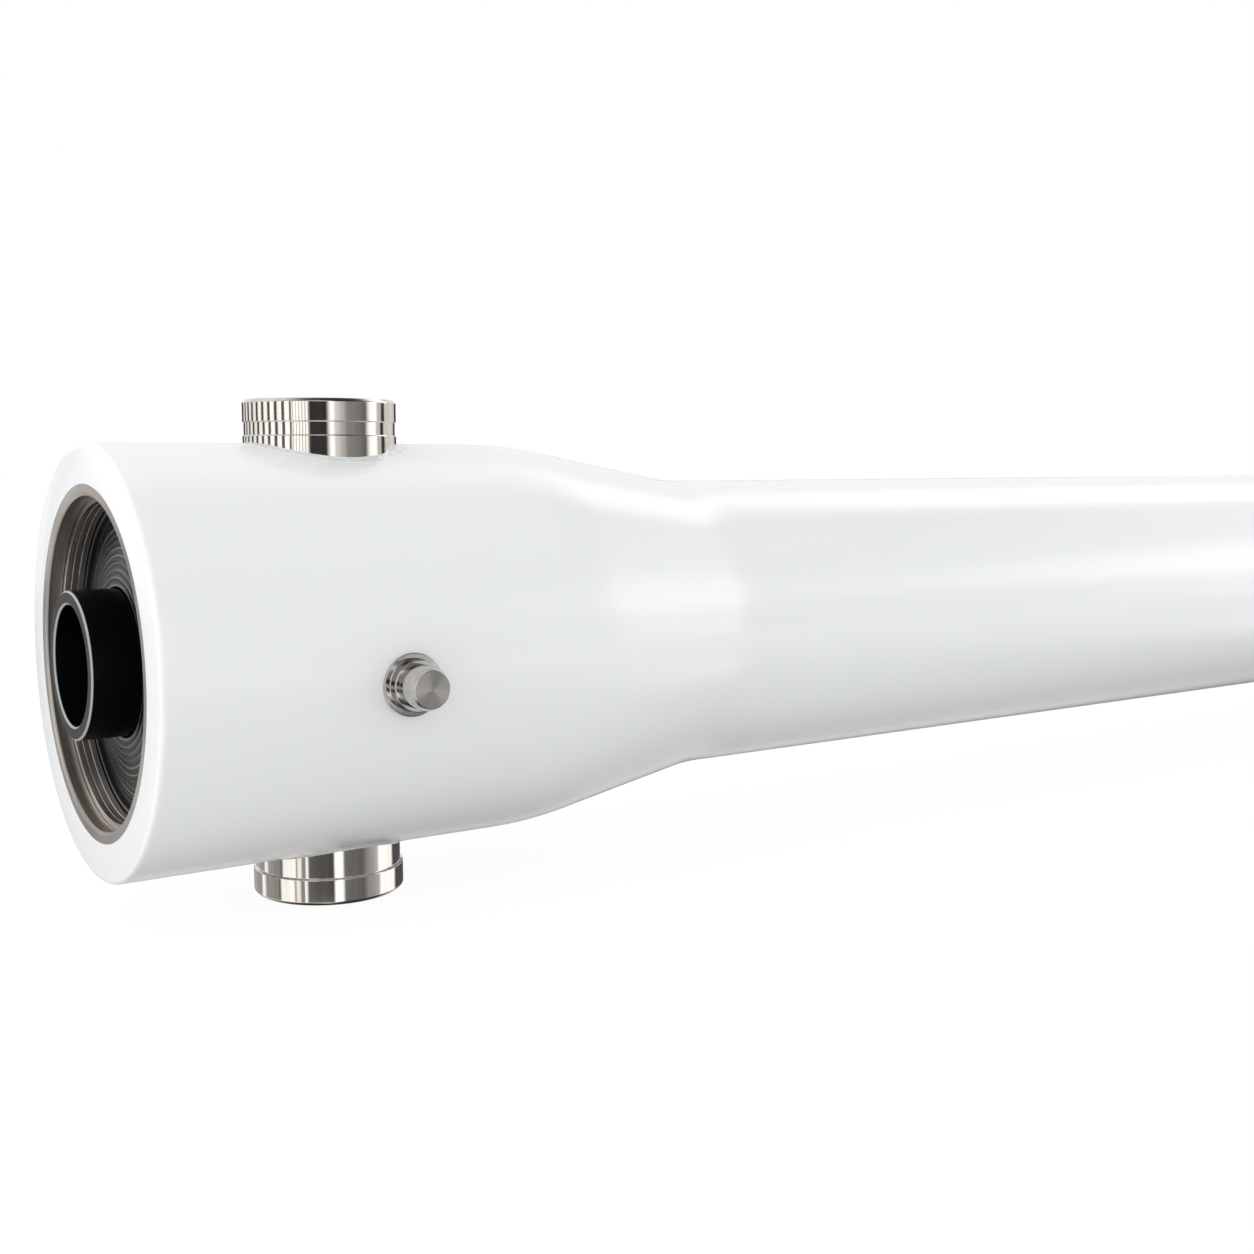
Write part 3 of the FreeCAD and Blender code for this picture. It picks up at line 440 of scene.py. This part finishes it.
def make_materials():
    colours = bpy.context.scene.housing_colours
    sizes = bpy.context.scene.housing_sizes
    MATERIALS.update({
        "wound_laminate": paint_material("wound_laminate", tuple(colours.paint)),
        "resin": resin_material("resin", tuple(colours.resin)),
        "nozzle_steel": steel_material("nozzle_steel", tuple(colours.nozzle_steel), "Z", 0.02, 0.3),
        "insert_steel": steel_material("insert_steel", tuple(colours.insert_steel), "X", 0.38, 0.3, 0.4),
        "ring_steel": steel_material("ring_steel", tuple(colours.insert_steel), "X", 0.22, 0.3, 0.3),
        "fitting_steel": steel_material("fitting_steel", tuple(colours.fitting_steel), "Y", 0.05, 0.1),
        "screw_steel": steel_material("screw_steel", tuple(colours.fitting_steel), "X", 0.2, 1.0),
        "plug_crown": crown_material("plug_crown", tuple(colours.fitting_steel)),
        "dark_plate": plate_material("dark_plate", tuple(colours.plate)),
        "black_plastic": plastic_material(
            "black_plastic", tuple(colours.plastic), tuple(colours.cut_plastic),
            sizes.port_bore, sizes.port_radius),
        "seal_rubber": rubber_material("seal_rubber", tuple(colours.rubber)),
    })


# Mesh tools


def arc(centre, radius, start, stop, steps):
    """Points of an arc in the profile plane, angles in radians."""
    return [
        (centre[0] + radius * math.cos(start + (stop - start) * i / steps),
         centre[1] + radius * math.sin(start + (stop - start) * i / steps))
        for i in range(steps + 1)
    ]


def split_run(first, last, count):
    """Points between two profile points, both left out."""
    return [
        (first[0] + (last[0] - first[0]) * i / count, first[1] + (last[1] - first[1]) * i / count)
        for i in range(1, count)
    ]


def lathe(profile, steps, edge=0.0, segments=2):
    """Spin a closed profile of (along, radius) points about X, and round its sharp edges."""
    shape = bmesh.new()
    ring = [shape.verts.new((along, 0, radius)) for along, radius in profile]
    edges = [shape.edges.new((ring[i - 1], ring[i])) for i in range(len(ring))]
    bmesh.ops.spin(
        shape, geom=ring + edges, cent=(0, 0, 0), axis=(1, 0, 0), dvec=(0, 0, 0),
        angle=math.tau, steps=steps, use_merge=True, use_duplicate=False)
    bmesh.ops.remove_doubles(shape, verts=shape.verts, dist=1e-6)
    bmesh.ops.recalc_face_normals(shape, faces=shape.faces)
    if edge:
        sharp = [e for e in shape.edges if len(e.link_faces) == 2 and e.calc_face_angle() > math.radians(25)]
        bmesh.ops.bevel(
            shape, geom=sharp, offset=edge, offset_type="OFFSET", segments=segments, profile=0.5,
            affect="EDGES", clamp_overlap=True, material=-1)
    return shape


def finish_piece(
        shape, name, body, slot, stands_for=(), matrix=None, smooth_angle=30, weighted=True):
    """Make an object of a bmesh, with its place in its mesh, hang it under its body's empty and hide the CAD
    pieces it stands for.
    """
    if matrix is not None:
        bmesh.ops.transform(shape, matrix=matrix, verts=shape.verts)
    mesh = bpy.data.meshes.new(name)
    shape.to_mesh(mesh)
    shape.free()
    mesh.shade_smooth()
    mesh.set_sharp_from_angle(angle=math.radians(smooth_angle))
    piece = bpy.data.objects.new(name, mesh)
    if weighted:
        facing = piece.modifiers.new("facing", "WEIGHTED_NORMAL")
        facing.keep_sharp = True
    bpy.context.scene.collection.objects.link(piece)
    mesh.materials.append(MATERIALS[slot])
    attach(piece, body)
    if stands_for:
        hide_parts(*stands_for)
    return piece


# Operators


class HOUSING_OT_finishes(bpy.types.Operator):
    """Make the finishes and give the hidden CAD pieces theirs"""

    bl_idname = "housing.finishes"
    bl_label = "Finishes"

    def execute(self, context):
        make_materials()
        slots = {row["node"]: row["material_slot"] for row in frame["record"]["subparts"]}
        for name, node in frame["nodes"].items():
            node.data.materials.clear()
            node.data.materials.append(MATERIALS[slots[name]])
        return {"FINISHED"}


def shell_profile(sizes):
    """The shell's outside from the near mouth to the neck, and the barrel between the two necks.

    The points are (along, radius), and along counts from the middle of the shell's length.
    """
    slope = math.atan2(HEAD_RADIUS - sizes.barrel_radius, sizes.taper_length)
    shoulder = sizes.shoulder_blend
    shoulder_tangent = shoulder * math.tan(slope / 2)
    neck_tangent = sizes.neck_blend * math.tan(slope / 2)
    rounding = sizes.mouth_rounding
    outside = [(0.0, sizes.insert_radius)]
    outside += arc((rounding, HEAD_RADIUS - rounding), rounding, math.pi, math.pi / 2, 5)
    head_end = (sizes.head_length - shoulder_tangent, HEAD_RADIUS)
    outside += split_run(outside[-1], head_end, 30)
    top = math.pi / 2
    outside += arc((head_end[0], HEAD_RADIUS - shoulder), shoulder, top, top - slope, 12)
    neck_end = (sizes.head_length + sizes.taper_length + neck_tangent, sizes.barrel_radius)
    neck = arc((neck_end[0], neck_end[1] + sizes.neck_blend), sizes.neck_blend, -top - slope, -top, 12)
    outside += split_run(outside[-1], neck[0], 10)
    outside += neck
    half = [(along - HALF_LENGTH, radius) for along, radius in outside]
    barrel = split_run(half[-1], (-half[-1][0], half[-1][1]), 40)
    return half, barrel


class HOUSING_OT_shell(bpy.types.Operator):
    """Model the wound shell, open at its mouths and at its nozzles"""

    bl_idname = "housing.shell"
    bl_label = "Shell"

    def execute(self, context):
        sizes = context.scene.housing_sizes
        half, barrel = shell_profile(sizes)
        inner_end = HALF_LENGTH - sizes.insert_depth
        mouth = [(-inner_end, sizes.bore_radius), (-inner_end, sizes.insert_radius)]
        profile = mouth + half + barrel
        profile += [(-along, radius) for along, radius in reversed(mouth + half)]
        shape = lathe(profile, 240)
        shell = finish_piece(
            shape, "shell_skin", ROOT, "wound_laminate", ["shell"], smooth_angle=28, weighted=False)
        self.cut_nozzle_holes(context, shell)
        return {"FINISHED"}

    def cut_nozzle_holes(self, context, shell):
        """Cut through both walls of each head, and keep the result as the shell's own mesh."""
        sizes = context.scene.housing_sizes
        cutters = []
        for side in (-1, 1):
            cutter = bmesh.new()
            bmesh.ops.create_cone(
                cutter, cap_ends=True, segments=160, radius1=sizes.nozzle_radius, radius2=sizes.nozzle_radius,
                depth=4 * HEAD_RADIUS)
            bmesh.ops.translate(cutter, vec=(side * (HALF_LENGTH - NOZZLE_STATION), 0, 0), verts=cutter.verts)
            mesh = bpy.data.meshes.new("nozzle_hole")
            cutter.to_mesh(mesh)
            cutter.free()
            cutters.append(bpy.data.objects.new("nozzle_hole", mesh))
            context.scene.collection.objects.link(cutters[-1])
        for cutter in cutters:
            hole = shell.modifiers.new("nozzle_hole", "BOOLEAN")
            hole.operation = "DIFFERENCE"
            hole.solver = "EXACT"
            hole.object = cutter
        context.view_layer.update()
        ready = shell.evaluated_get(context.evaluated_depsgraph_get())
        cut = bpy.data.meshes.new_from_object(ready)
        shell.modifiers.clear()
        shell.data = cut
        for cutter in cutters:
            bpy.data.objects.remove(cutter)


class HOUSING_OT_mouths(bpy.types.Operator):
    """Model the locking insert and the spiral retaining ring of each mouth"""

    bl_idname = "housing.mouths"
    bl_label = "Mouths"

    def execute(self, context):
        sizes = context.scene.housing_sizes
        depth = sizes.insert_depth
        for end, matrix in ENDS.items():
            profile = [
                (0.0, sizes.insert_radius), (depth, sizes.insert_radius), (depth, sizes.bore_radius),
                (depth - sizes.lead_in, sizes.land_radius), (sizes.groove_end, sizes.land_radius),
                (sizes.groove_end, sizes.groove_floor), (sizes.groove_start, sizes.groove_floor),
                (sizes.groove_start, sizes.land_radius), (sizes.mouth_chamfer_depth, sizes.land_radius),
                (0.0, sizes.land_radius + sizes.mouth_chamfer),
            ]
            shape = lathe(profile, 192, edge=0.0005)
            finish_piece(shape, f"{end}_insert_ring", ROOT, "insert_steel", [f"{end}_locking_insert"], matrix)
            shape = spiral_ring(sizes)
            finish_piece(shape, f"{end}_spiral_ring", f"{end}_closure", "ring_steel",
                         [f"{end}_retaining_ring"], matrix)
        return {"FINISHED"}


def spiral_ring(sizes):
    """Three flat turns of square wire, each stepping to the next in a short crimp."""
    outer = sizes.groove_floor - sizes.ring_gap
    inner = outer - sizes.wire_width
    start = sizes.ring_start
    soft = 0.0007  # rounding of the wire's corners
    stop = start + sizes.wire_depth
    corners = [(start, inner), (stop, inner), (stop, outer), (start, outer)]
    section = []
    for index, (along, radius) in enumerate(corners):
        centre = (along + (soft if index in (0, 3) else -soft), radius + (soft if index < 2 else -soft))
        turn = math.pi + index * math.pi / 2
        section += arc(centre, soft, turn, turn + math.pi / 2, 3)
    shape = bmesh.new()
    ring = [shape.verts.new((along, 0, radius)) for along, radius in section]
    ring_edges = [shape.edges.new((ring[i - 1], ring[i])) for i in range(len(ring))]
    wire_end = math.radians(120)
    bmesh.ops.rotate(shape, cent=(0, 0, 0), matrix=Matrix.Rotation(wire_end, 3, "X"), verts=ring)
    last = ring + ring_edges
    ends = [list(ring_edges)]
    flat = math.radians(300)
    crimp_steps = 22
    for turn in range(RING_TURNS):
        made = bmesh.ops.spin(
            shape, geom=last, cent=(0, 0, 0), axis=(1, 0, 0), dvec=(0, 0, 0), angle=flat, steps=110,
            use_merge=False, use_duplicate=False)
        last = made["geom_last"]
        if turn < RING_TURNS - 1:
            made = bmesh.ops.spin(
                shape, geom=last, cent=(0, 0, 0), axis=(1, 0, 0), dvec=(sizes.wire_pitch / crimp_steps, 0, 0),
                angle=math.tau - flat, steps=crimp_steps, use_merge=False, use_duplicate=False)
            last = made["geom_last"]
    ends.append([item for item in last if isinstance(item, bmesh.types.BMEdge)])
    for loop in ends:
        bmesh.ops.contextual_create(shape, geom=loop)
    bmesh.ops.recalc_face_normals(shape, faces=shape.faces)
    return shape


class HOUSING_OT_closures(bpy.types.Operator):
    """Model the bearing plate and the product port of each closure"""

    bl_idname = "housing.closures"
    bl_label = "Closures"

    def execute(self, context):
        sizes = context.scene.housing_sizes
        for end, matrix in ENDS.items():
            body = f"{end}_closure"
            back = sizes.plate_rim + sizes.plate_thickness
            foot = sizes.plate_rim + sizes.rim_step
            hub = foot - sizes.hub_rise
            hole = sizes.port_radius + sizes.port_gap
            dish = sizes.plate_radius - sizes.rim_width
            profile = [
                (sizes.plate_rim, sizes.plate_radius), (back, sizes.plate_radius), (back, hole), (hub, hole),
                (hub, hole + sizes.hub_width), (foot, dish), (sizes.plate_rim, dish),
            ]
            shape = lathe(profile, 192, edge=0.0006)
            finish_piece(shape, f"{end}_end_plate", body, "dark_plate", [f"{end}_bearing_plate"], matrix, 20)
            low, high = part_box(f"{end}_product_port")
            tail = high[0] - low[0] - PORT_PROUD
            front = -PORT_PROUD
            flange = back + sizes.sealing_plate
            flange_end = flange + sizes.port_flange_width
            profile = [
                (front, sizes.port_bore + sizes.port_chamfer),
                (front, sizes.port_radius - sizes.port_chamfer),
                (front + sizes.port_chamfer, sizes.port_radius), (flange, sizes.port_radius),
                (flange, sizes.port_flange), (flange_end, sizes.port_flange),
                (flange_end, sizes.socket_radius), (tail, sizes.socket_radius), (tail, sizes.socket_bore),
                (sizes.port_bore_end, sizes.socket_bore), (sizes.port_bore_end, sizes.port_bore),
                (front + sizes.port_chamfer, sizes.port_bore),
            ]
            shape = lathe(profile, 160, edge=0.0003)
            finish_piece(shape, f"{end}_port_tube", body, "black_plastic", [f"{end}_product_port"], matrix)
        return {"FINISHED"}


class HOUSING_OT_nozzles(bpy.types.Operator):
    """Model the side nozzles and the resin round their feet"""

    bl_idname = "housing.nozzles"
    bl_label = "Nozzles"

    def execute(self, context):
        sizes = context.scene.housing_sizes
        for end, side in (("near", -1), ("far", 1)):
            for level, flip in (("upper", 0.0), ("lower", math.pi)):
                matrix = (Matrix.Translation((side * (HALF_LENGTH - NOZZLE_STATION), 0, 0))
                          @ Matrix.Rotation(flip, 4, "X"))
                self.nozzle(sizes, end, level, matrix)
                self.resin(sizes, end, level, matrix)
        return {"FINISHED"}

    def nozzle(self, sizes, end, level, matrix):
        lip = getattr(sizes, f"{level}_lip")
        groove = getattr(sizes, f"{level}_groove")
        outer = sizes.nozzle_radius
        neck = outer - getattr(sizes, f"{level}_inset")
        chamfer = sizes.nozzle_chamfer
        top = NOZZLE_REACH
        groove_end = top - lip - groove
        seat = sizes.nozzle_seat
        flange = sizes.nozzle_flange
        low = 0.06  # below the bore's wall, to which the inner end is lifted
        profile = [
            (low, sizes.nozzle_bore), (top, sizes.nozzle_bore), (top, outer - chamfer),
            (top - chamfer, outer), (top - lip, outer), (top - lip, neck), (groove_end, neck),
            (groove_end, outer), (seat, outer), (seat, flange), (low, flange),
        ]
        shape = lathe(profile, 192, edge=0.0007, segments=3)
        upright = Matrix.Rotation(-math.pi / 2, 4, "Y")
        bmesh.ops.transform(shape, matrix=upright, verts=shape.verts)
        reach = sizes.bore_radius + WALL_GAP
        for vert in shape.verts:
            if vert.co.z < low + 0.003:
                vert.co.z = math.sqrt(reach * reach - vert.co.y * vert.co.y)
        finish_piece(shape, f"{end}_{level}_spout", ROOT, "nozzle_steel", [f"{end}_{level}_nozzle"], matrix)

    def resin(self, sizes, end, level, matrix):
        """Concave collar that follows the shell's curve, hand-laid and a little lumpy."""
        tube = sizes.nozzle_radius - (sizes.lower_inset if level == "lower" else 0)
        size = getattr(sizes, f"{level}_resin")
        rise = 0.08 if level == "upper" else 0.35  # height as a share of the spread
        steps = 9
        bite = 0.0004  # into the nozzle's wall
        sink = 0.0012  # into the shell
        film = 0.00015  # over the shell, so that the two faces don't flicker
        shape = bmesh.new()
        bmesh.ops.create_circle(shape, segments=180, radius=tube)
        rows = [list(shape.verts)]
        loop = list(shape.edges)
        for _ in range(steps + 2):
            made = bmesh.ops.extrude_edge_only(shape, edges=loop)
            rows.append([item for item in made["geom"] if isinstance(item, bmesh.types.BMVert)])
            loop = [item for item in made["geom"] if isinstance(item, bmesh.types.BMEdge)
                    and all(v in rows[-1] for v in item.verts)]
        for row, verts in enumerate(rows):
            for vert in verts:
                turn = math.atan2(vert.co.y, vert.co.x)
                wave = noise.noise(Vector((2.2 * math.cos(turn), 2.2 * math.sin(turn), size * 900)))
                spread = size * (1 + 0.25 * wave)
                angle = min(1.0, row / steps) * math.pi / 2
                out = tube + spread * (1 - math.cos(angle)) if row <= steps else tube + spread * 1.06
                lift = spread * rise * (1 - math.sin(angle)) if row <= steps else -sink
                if row == 0:
                    out -= bite
                if row == steps + 2:
                    out = tube - bite
                y = out * math.sin(turn)
                ground = math.sqrt(HEAD_RADIUS * HEAD_RADIUS - y * y)
                vert.co = (out * math.cos(turn), y, ground + lift + film)
        bmesh.ops.bridge_loops(shape, edges=[e for e in shape.edges if e.is_boundary])
        bmesh.ops.recalc_face_normals(shape, faces=shape.faces)
        finish_piece(
            shape, f"{end}_{level}_resin", ROOT, "resin", [f"{end}_{level}_resin_fillet"], matrix, 60)


class HOUSING_OT_fittings(bpy.types.Operator):
    """Model the sample boss and its plug on the side of each head"""

    bl_idname = "housing.fittings"
    bl_label = "Sample fittings"

    def execute(self, context):
        sizes = context.scene.housing_sizes
        aside = Matrix.Rotation(-math.pi / 2, 4, "Z")
        for end, matrix in ENDS.items():
            place = matrix @ Matrix.Translation((FITTING_STATION, 0, FITTING_LEVEL)) @ aside
            profile = [
                (sizes.boss_foot, sizes.boss_passage), (sizes.boss_foot, sizes.boss_shank),
                (sizes.boss_flange_back, sizes.boss_shank), (sizes.boss_flange_back, sizes.boss_flange),
                (sizes.boss_flange_face, sizes.boss_flange), (sizes.boss_flange_face, sizes.boss_radius),
                (sizes.boss_face, sizes.boss_radius), (sizes.boss_face, sizes.boss_socket),
                (sizes.boss_socket_floor, sizes.boss_socket), (sizes.boss_socket_floor, sizes.boss_thread),
                (sizes.boss_thread_end, sizes.boss_thread), (sizes.boss_thread_end, sizes.boss_passage),
            ]
            shape = lathe(profile, 128, edge=0.0005, segments=3)
            finish_piece(shape, f"{end}_boss_body", ROOT, "fitting_steel", [f"{end}_sample_boss"], place)
            foot = sizes.boss_face + FACE_GAP
            tip = foot - sizes.plug_shank_length
            crown = FITTING_REACH - sizes.plug_crown_height
            profile = [
                (tip, AXIS_HOLE), (tip, sizes.plug_shank), (foot, sizes.plug_shank),
                (foot, sizes.plug_radius), (crown, sizes.plug_radius),
                (FITTING_REACH, sizes.plug_crown), (FITTING_REACH, AXIS_HOLE),
            ]
            shape = lathe(profile, 128, edge=0.0004, segments=3)
            piece = finish_piece(shape, f"{end}_plug_body", f"{end}_plug", "fitting_steel",
                                 [f"{end}_sample_plug"], place)
            piece.data.materials.append(MATERIALS["plug_crown"])
            for face in piece.data.polygons:
                if abs(face.center.y) > FITTING_REACH - FACE_GAP:
                    face.material_index = 1
        return {"FINISHED"}


STRIP_EDGE = 8.0  # half the width of a softbox's soft edge, in degrees


def strip(shader, angle, centre, half_width, strength):
    """A softbox with soft edges, by an angle in degrees."""
    off = shader.function("ABSOLUTE", angle - centre)
    return (1.0 - shader.step(off, half_width - STRIP_EDGE, half_width + STRIP_EDGE)) * strength


class HOUSING_OT_stage(bpy.types.Operator):
    """Set the floor, the soft light, the white world and the camera"""

    bl_idname = "housing.stage"
    bl_label = "Stage"

    def execute(self, context):
        self.floor(context)
        self.world(context)
        self.lamps(context)
        self.camera(context)
        context.scene.view_settings.view_transform = "Standard"
        return {"FINISHED"}

    def floor(self, context):
        shape = bmesh.new()
        bmesh.ops.create_circle(shape, cap_ends=True, segments=96, radius=30)
        bmesh.ops.translate(shape, vec=(0, 0, FLOOR_LEVEL), verts=shape.verts)
        mesh = bpy.data.meshes.new("floor")
        shape.to_mesh(mesh)
        shape.free()
        floor = bpy.data.objects.new("floor", mesh)
        context.scene.collection.objects.link(floor)
        material, shader = new_material("floor")
        fine = shader.speckle(shader.place(), 3.0, 2.0)
        base = tuple(context.scene.housing_colours.floor)
        shade = shader.tint(fine, scaled(base, 0.99), base)
        matt = shader.node("ShaderNodeBsdfDiffuse", sockets={"Color": shade})
        white = shader.node("ShaderNodeEmission", sockets={"Color": (1, 1, 1), "Strength": 1.04})
        seen = shader.node("ShaderNodeLightPath", out="Is Camera Ray")
        mixed = shader.node("ShaderNodeMixShader", sockets={0: seen * 0.9, 1: matt, 2: white})
        clear = shader.node("ShaderNodeBsdfTransparent")
        glossy = shader.node("ShaderNodeLightPath", out="Is Glossy Ray")
        mixed = shader.node("ShaderNodeMixShader", sockets={0: glossy, 1: mixed, 2: clear})
        shader.node("ShaderNodeOutputMaterial", sockets={"Surface": mixed})
        mesh.materials.append(material)

    def world(self, context):
        world = bpy.data.worlds.new("studio")
        context.scene.world = world
        world.use_nodes = True
        shader = Shader(world.node_tree)
        whole = shader.node("ShaderNodeTexCoord", out="Generated")
        x, y, z = shader.split(whole)
        azimuth = shader.function("ARCTAN2", y, x) * (180 / math.pi)
        elevation = shader.function("ARCSINE", z) * (180 / math.pi)
        # Walls of the studio as polished steel sees them, by azimuth. They go round from the left side:
        # a white screen, a dark gap where the camera stands, a strip light, a grey wall that darkens,
        # and narrower screens and gaps. Slats divide the window behind the left side.
        around = azimuth / 360.0 + 0.5
        walls = shader.ramp(around, [
            (0.0, 1.5), (0.136, 1.6), (0.144, 0.05), (0.211, 0.04), (0.219, 0.6), (0.236, 2.0),
            (0.249, 1.0), (0.300, 0.34), (0.386, 0.18), (0.408, 1.6), (0.444, 1.5), (0.452, 0.7),
            (0.474, 0.6), (0.478, 0.05), (0.498, 0.05), (0.502, 0.9), (0.600, 0.8), (0.612, 0.06),
            (0.739, 0.06), (0.750, 0.8), (0.89, 1.3), (1.0, 1.5),
        ])
        from_left = shader.function("ARCTAN2", y, x * -1.0) * (180 / math.pi)
        slats = shader.step(shader.function("SINE", from_left * 0.50 + 0.8), 0.10, 0.45)
        lines = shader.step(shader.function("SINE", from_left * 1.35), 0.55, 0.8)
        narrow = 1.0 - shader.step(from_left, -26.0, -23.0)
        slats = slats * (1.0 - narrow) + lines * narrow * 0.75
        window = 1.0 - shader.step(shader.function("ABSOLUTE", from_left - 30.0), 82.0, 86.0)
        walls = walls * (1.0 - slats * window * 0.93)
        # The lower nozzles see the foot of the walls, where there are fewer lights and no slats.
        foot = shader.ramp(around, [
            (0.0, 1.4), (0.032, 1.3), (0.036, 0.35), (0.041, 0.4), (0.044, 1.3), (0.060, 1.2),
            (0.064, 0.35), (0.079, 0.35), (0.082, 1.5), (0.090, 1.3), (0.096, 0.16), (0.203, 0.09),
            (0.212, 1.7), (0.243, 1.5), (0.252, 0.2), (0.335, 0.15), (0.360, 0.35), (0.414, 0.6),
            (0.430, 1.6), (0.515, 1.3), (0.530, 0.10), (0.700, 0.10), (0.740, 0.45), (0.836, 0.4),
            (0.845, 1.4), (0.862, 1.2), (0.875, 0.4), (0.952, 0.35), (0.956, 0.08), (0.962, 0.3),
            (0.970, 1.3), (1.0, 1.4),
        ])
        # The fittings and the mouth see a grey dado between the two.
        high = shader.step(elevation, -6.0, -3.0)
        low = 1.0 - shader.step(elevation, -12.0, -10.0)
        dado = 0.80 - shader.step(y, 0.0, 0.5) * shader.step(x * -1.0, -0.2, 0.2) * 0.52
        top = shader.step(y, 0.0, 0.3) * shader.step(elevation, 4.0, 7.0)
        walls = walls * (high - top) + foot * low + (1.0 - high - low) * dado + top * 0.95
        level = 1.0 - shader.step(shader.function("ABSOLUTE", elevation), 18.0, 30.0)
        left = shader.step(x * -1.0, 0.50, 0.75)
        ceiling = left * 0.85 + 0.05
        behind = shader.step(y, 0.0, 0.5) * shader.step(z, -0.9, -0.3)
        ceiling = ceiling * (1.0 - behind) + behind * 0.95
        # Softboxes along the vessel, by their angle about the bore's axis, brighter toward its far end.
        # The one named beyond shows in the taper and in the far barrel.
        about = shader.function("ARCTAN2", y, z) * (180 / math.pi)
        lengthwise = shader.step(x, 0.35, 0.95)
        strips = strip(shader, about, 24, 13, 2.0) + strip(shader, about, -66, 6, 1.4)
        beyond = strip(shader, about, -25, 33, 0.8) * shader.step(x, 0.72, 0.84) * shader.step(z, 0.06, 0.10)
        # The steps of the small fittings see grey screens over and under the gap where the camera stands.
        over = shader.step(elevation, 4.0, 7.0)
        under = 1.0 - shader.step(elevation, -19.0, -16.0)
        screens = strip(shader, azimuth, -117, 26, 0.5) * (over + under)
        lights = strips * lengthwise * shader.step(z, 0.035, 0.07) + beyond + screens
        glints = level * walls + (1.0 - level) * ceiling + lights
        fill = 0.98 - z * 0.05 - x * 0.06
        seen = shader.node("ShaderNodeLightPath", out="Is Camera Ray")
        glossy = shader.node("ShaderNodeLightPath", out="Is Glossy Ray")
        strength = shader.node("ShaderNodeMix", {"data_type": "FLOAT"}, {0: glossy, 2: fill, 3: glints})
        strength = shader.node("ShaderNodeMix", {"data_type": "FLOAT"}, {0: seen, 2: strength, 3: 1.0})
        light = shader.node("ShaderNodeBackground", sockets={"Color": (1, 1, 1), "Strength": strength})
        shader.node("ShaderNodeOutputWorld", sockets={"Surface": light})

    def lamps(self, context):
        near_end = Vector((-HALF_LENGTH, 0, 0))
        # Places and targets are from the middle of the near end face.
        for name, offset, target, width, height, power in (
            ("left_softbox", (-2.6, 0.5, 0.7), (0, 0, -0.1), 1.6, 1.6, 26),
            ("top_softbox", (0.6, -0.4, 2.4), (0, 0, 0), 2.2, 2.2, 2),
            ("barrel_fill", (2.0, -1.4, -0.09), (1.4, 0, 0), 1.8, 0.14, 2.4),
        ):
            lamp = bpy.data.lights.new(name, "AREA")
            lamp.shape = "RECTANGLE"
            lamp.size = width
            lamp.size_y = height
            lamp.energy = power
            stand = bpy.data.objects.new(name, lamp)
            stand.location = near_end + Vector(offset)
            aim = near_end + Vector(target) - stand.location
            stand.rotation_euler = aim.to_track_quat("-Z", "Y").to_euler()
            stand.visible_glossy = False
            context.scene.collection.objects.link(stand)

    def camera(self, context):
        """The photograph's viewpoint, worked out from the mouth, the nozzles and the taper."""
        yaw = math.radians(34.706)
        pitch = math.radians(6.232)
        lens = bpy.data.cameras.new("camera")
        lens.lens = 44.06
        lens.sensor_width = 36
        lens.clip_start = 0.01
        lens.clip_end = 100
        camera = bpy.data.objects.new("camera", lens)
        camera.location = (-HALF_LENGTH - 0.2831, -1.0375, 0.1359)
        aim = Vector((math.sin(yaw) * math.cos(pitch), math.cos(yaw) * math.cos(pitch), -math.sin(pitch)))
        camera.rotation_euler = aim.to_track_quat("-Z", "Y").to_euler()
        context.scene.collection.objects.link(camera)
        context.scene.camera = camera


class HOUSING_PT_panel(bpy.types.Panel):
    """Lists the steps that dress the housing"""

    bl_idname = "HOUSING_PT_panel"
    bl_label = "Membrane housing"
    bl_space_type = "VIEW_3D"
    bl_region_type = "UI"
    bl_category = "Housing"

    def draw(self, context):
        for step in STEPS:
            self.layout.operator(step.bl_idname)


STEPS = (
    HOUSING_OT_finishes,
    HOUSING_OT_shell,
    HOUSING_OT_mouths,
    HOUSING_OT_closures,
    HOUSING_OT_nozzles,
    HOUSING_OT_fittings,
    HOUSING_OT_stage,
)
CLASSES = (HousingSizes, HousingColours, *STEPS, HOUSING_PT_panel)


def register():
    for item in CLASSES:
        bpy.utils.register_class(item)
    bpy.types.Scene.housing_sizes = bpy.props.PointerProperty(type=HousingSizes)
    bpy.types.Scene.housing_colours = bpy.props.PointerProperty(type=HousingColours)


def unregister():
    del bpy.types.Scene.housing_colours
    del bpy.types.Scene.housing_sizes
    for item in reversed(CLASSES):
        bpy.utils.unregister_class(item)


def main():
    register()
    for step in STEPS:
        group, action = step.bl_idname.split(".")
        getattr(getattr(bpy.ops, group), action)()


if __name__ == "__main__":
    main()
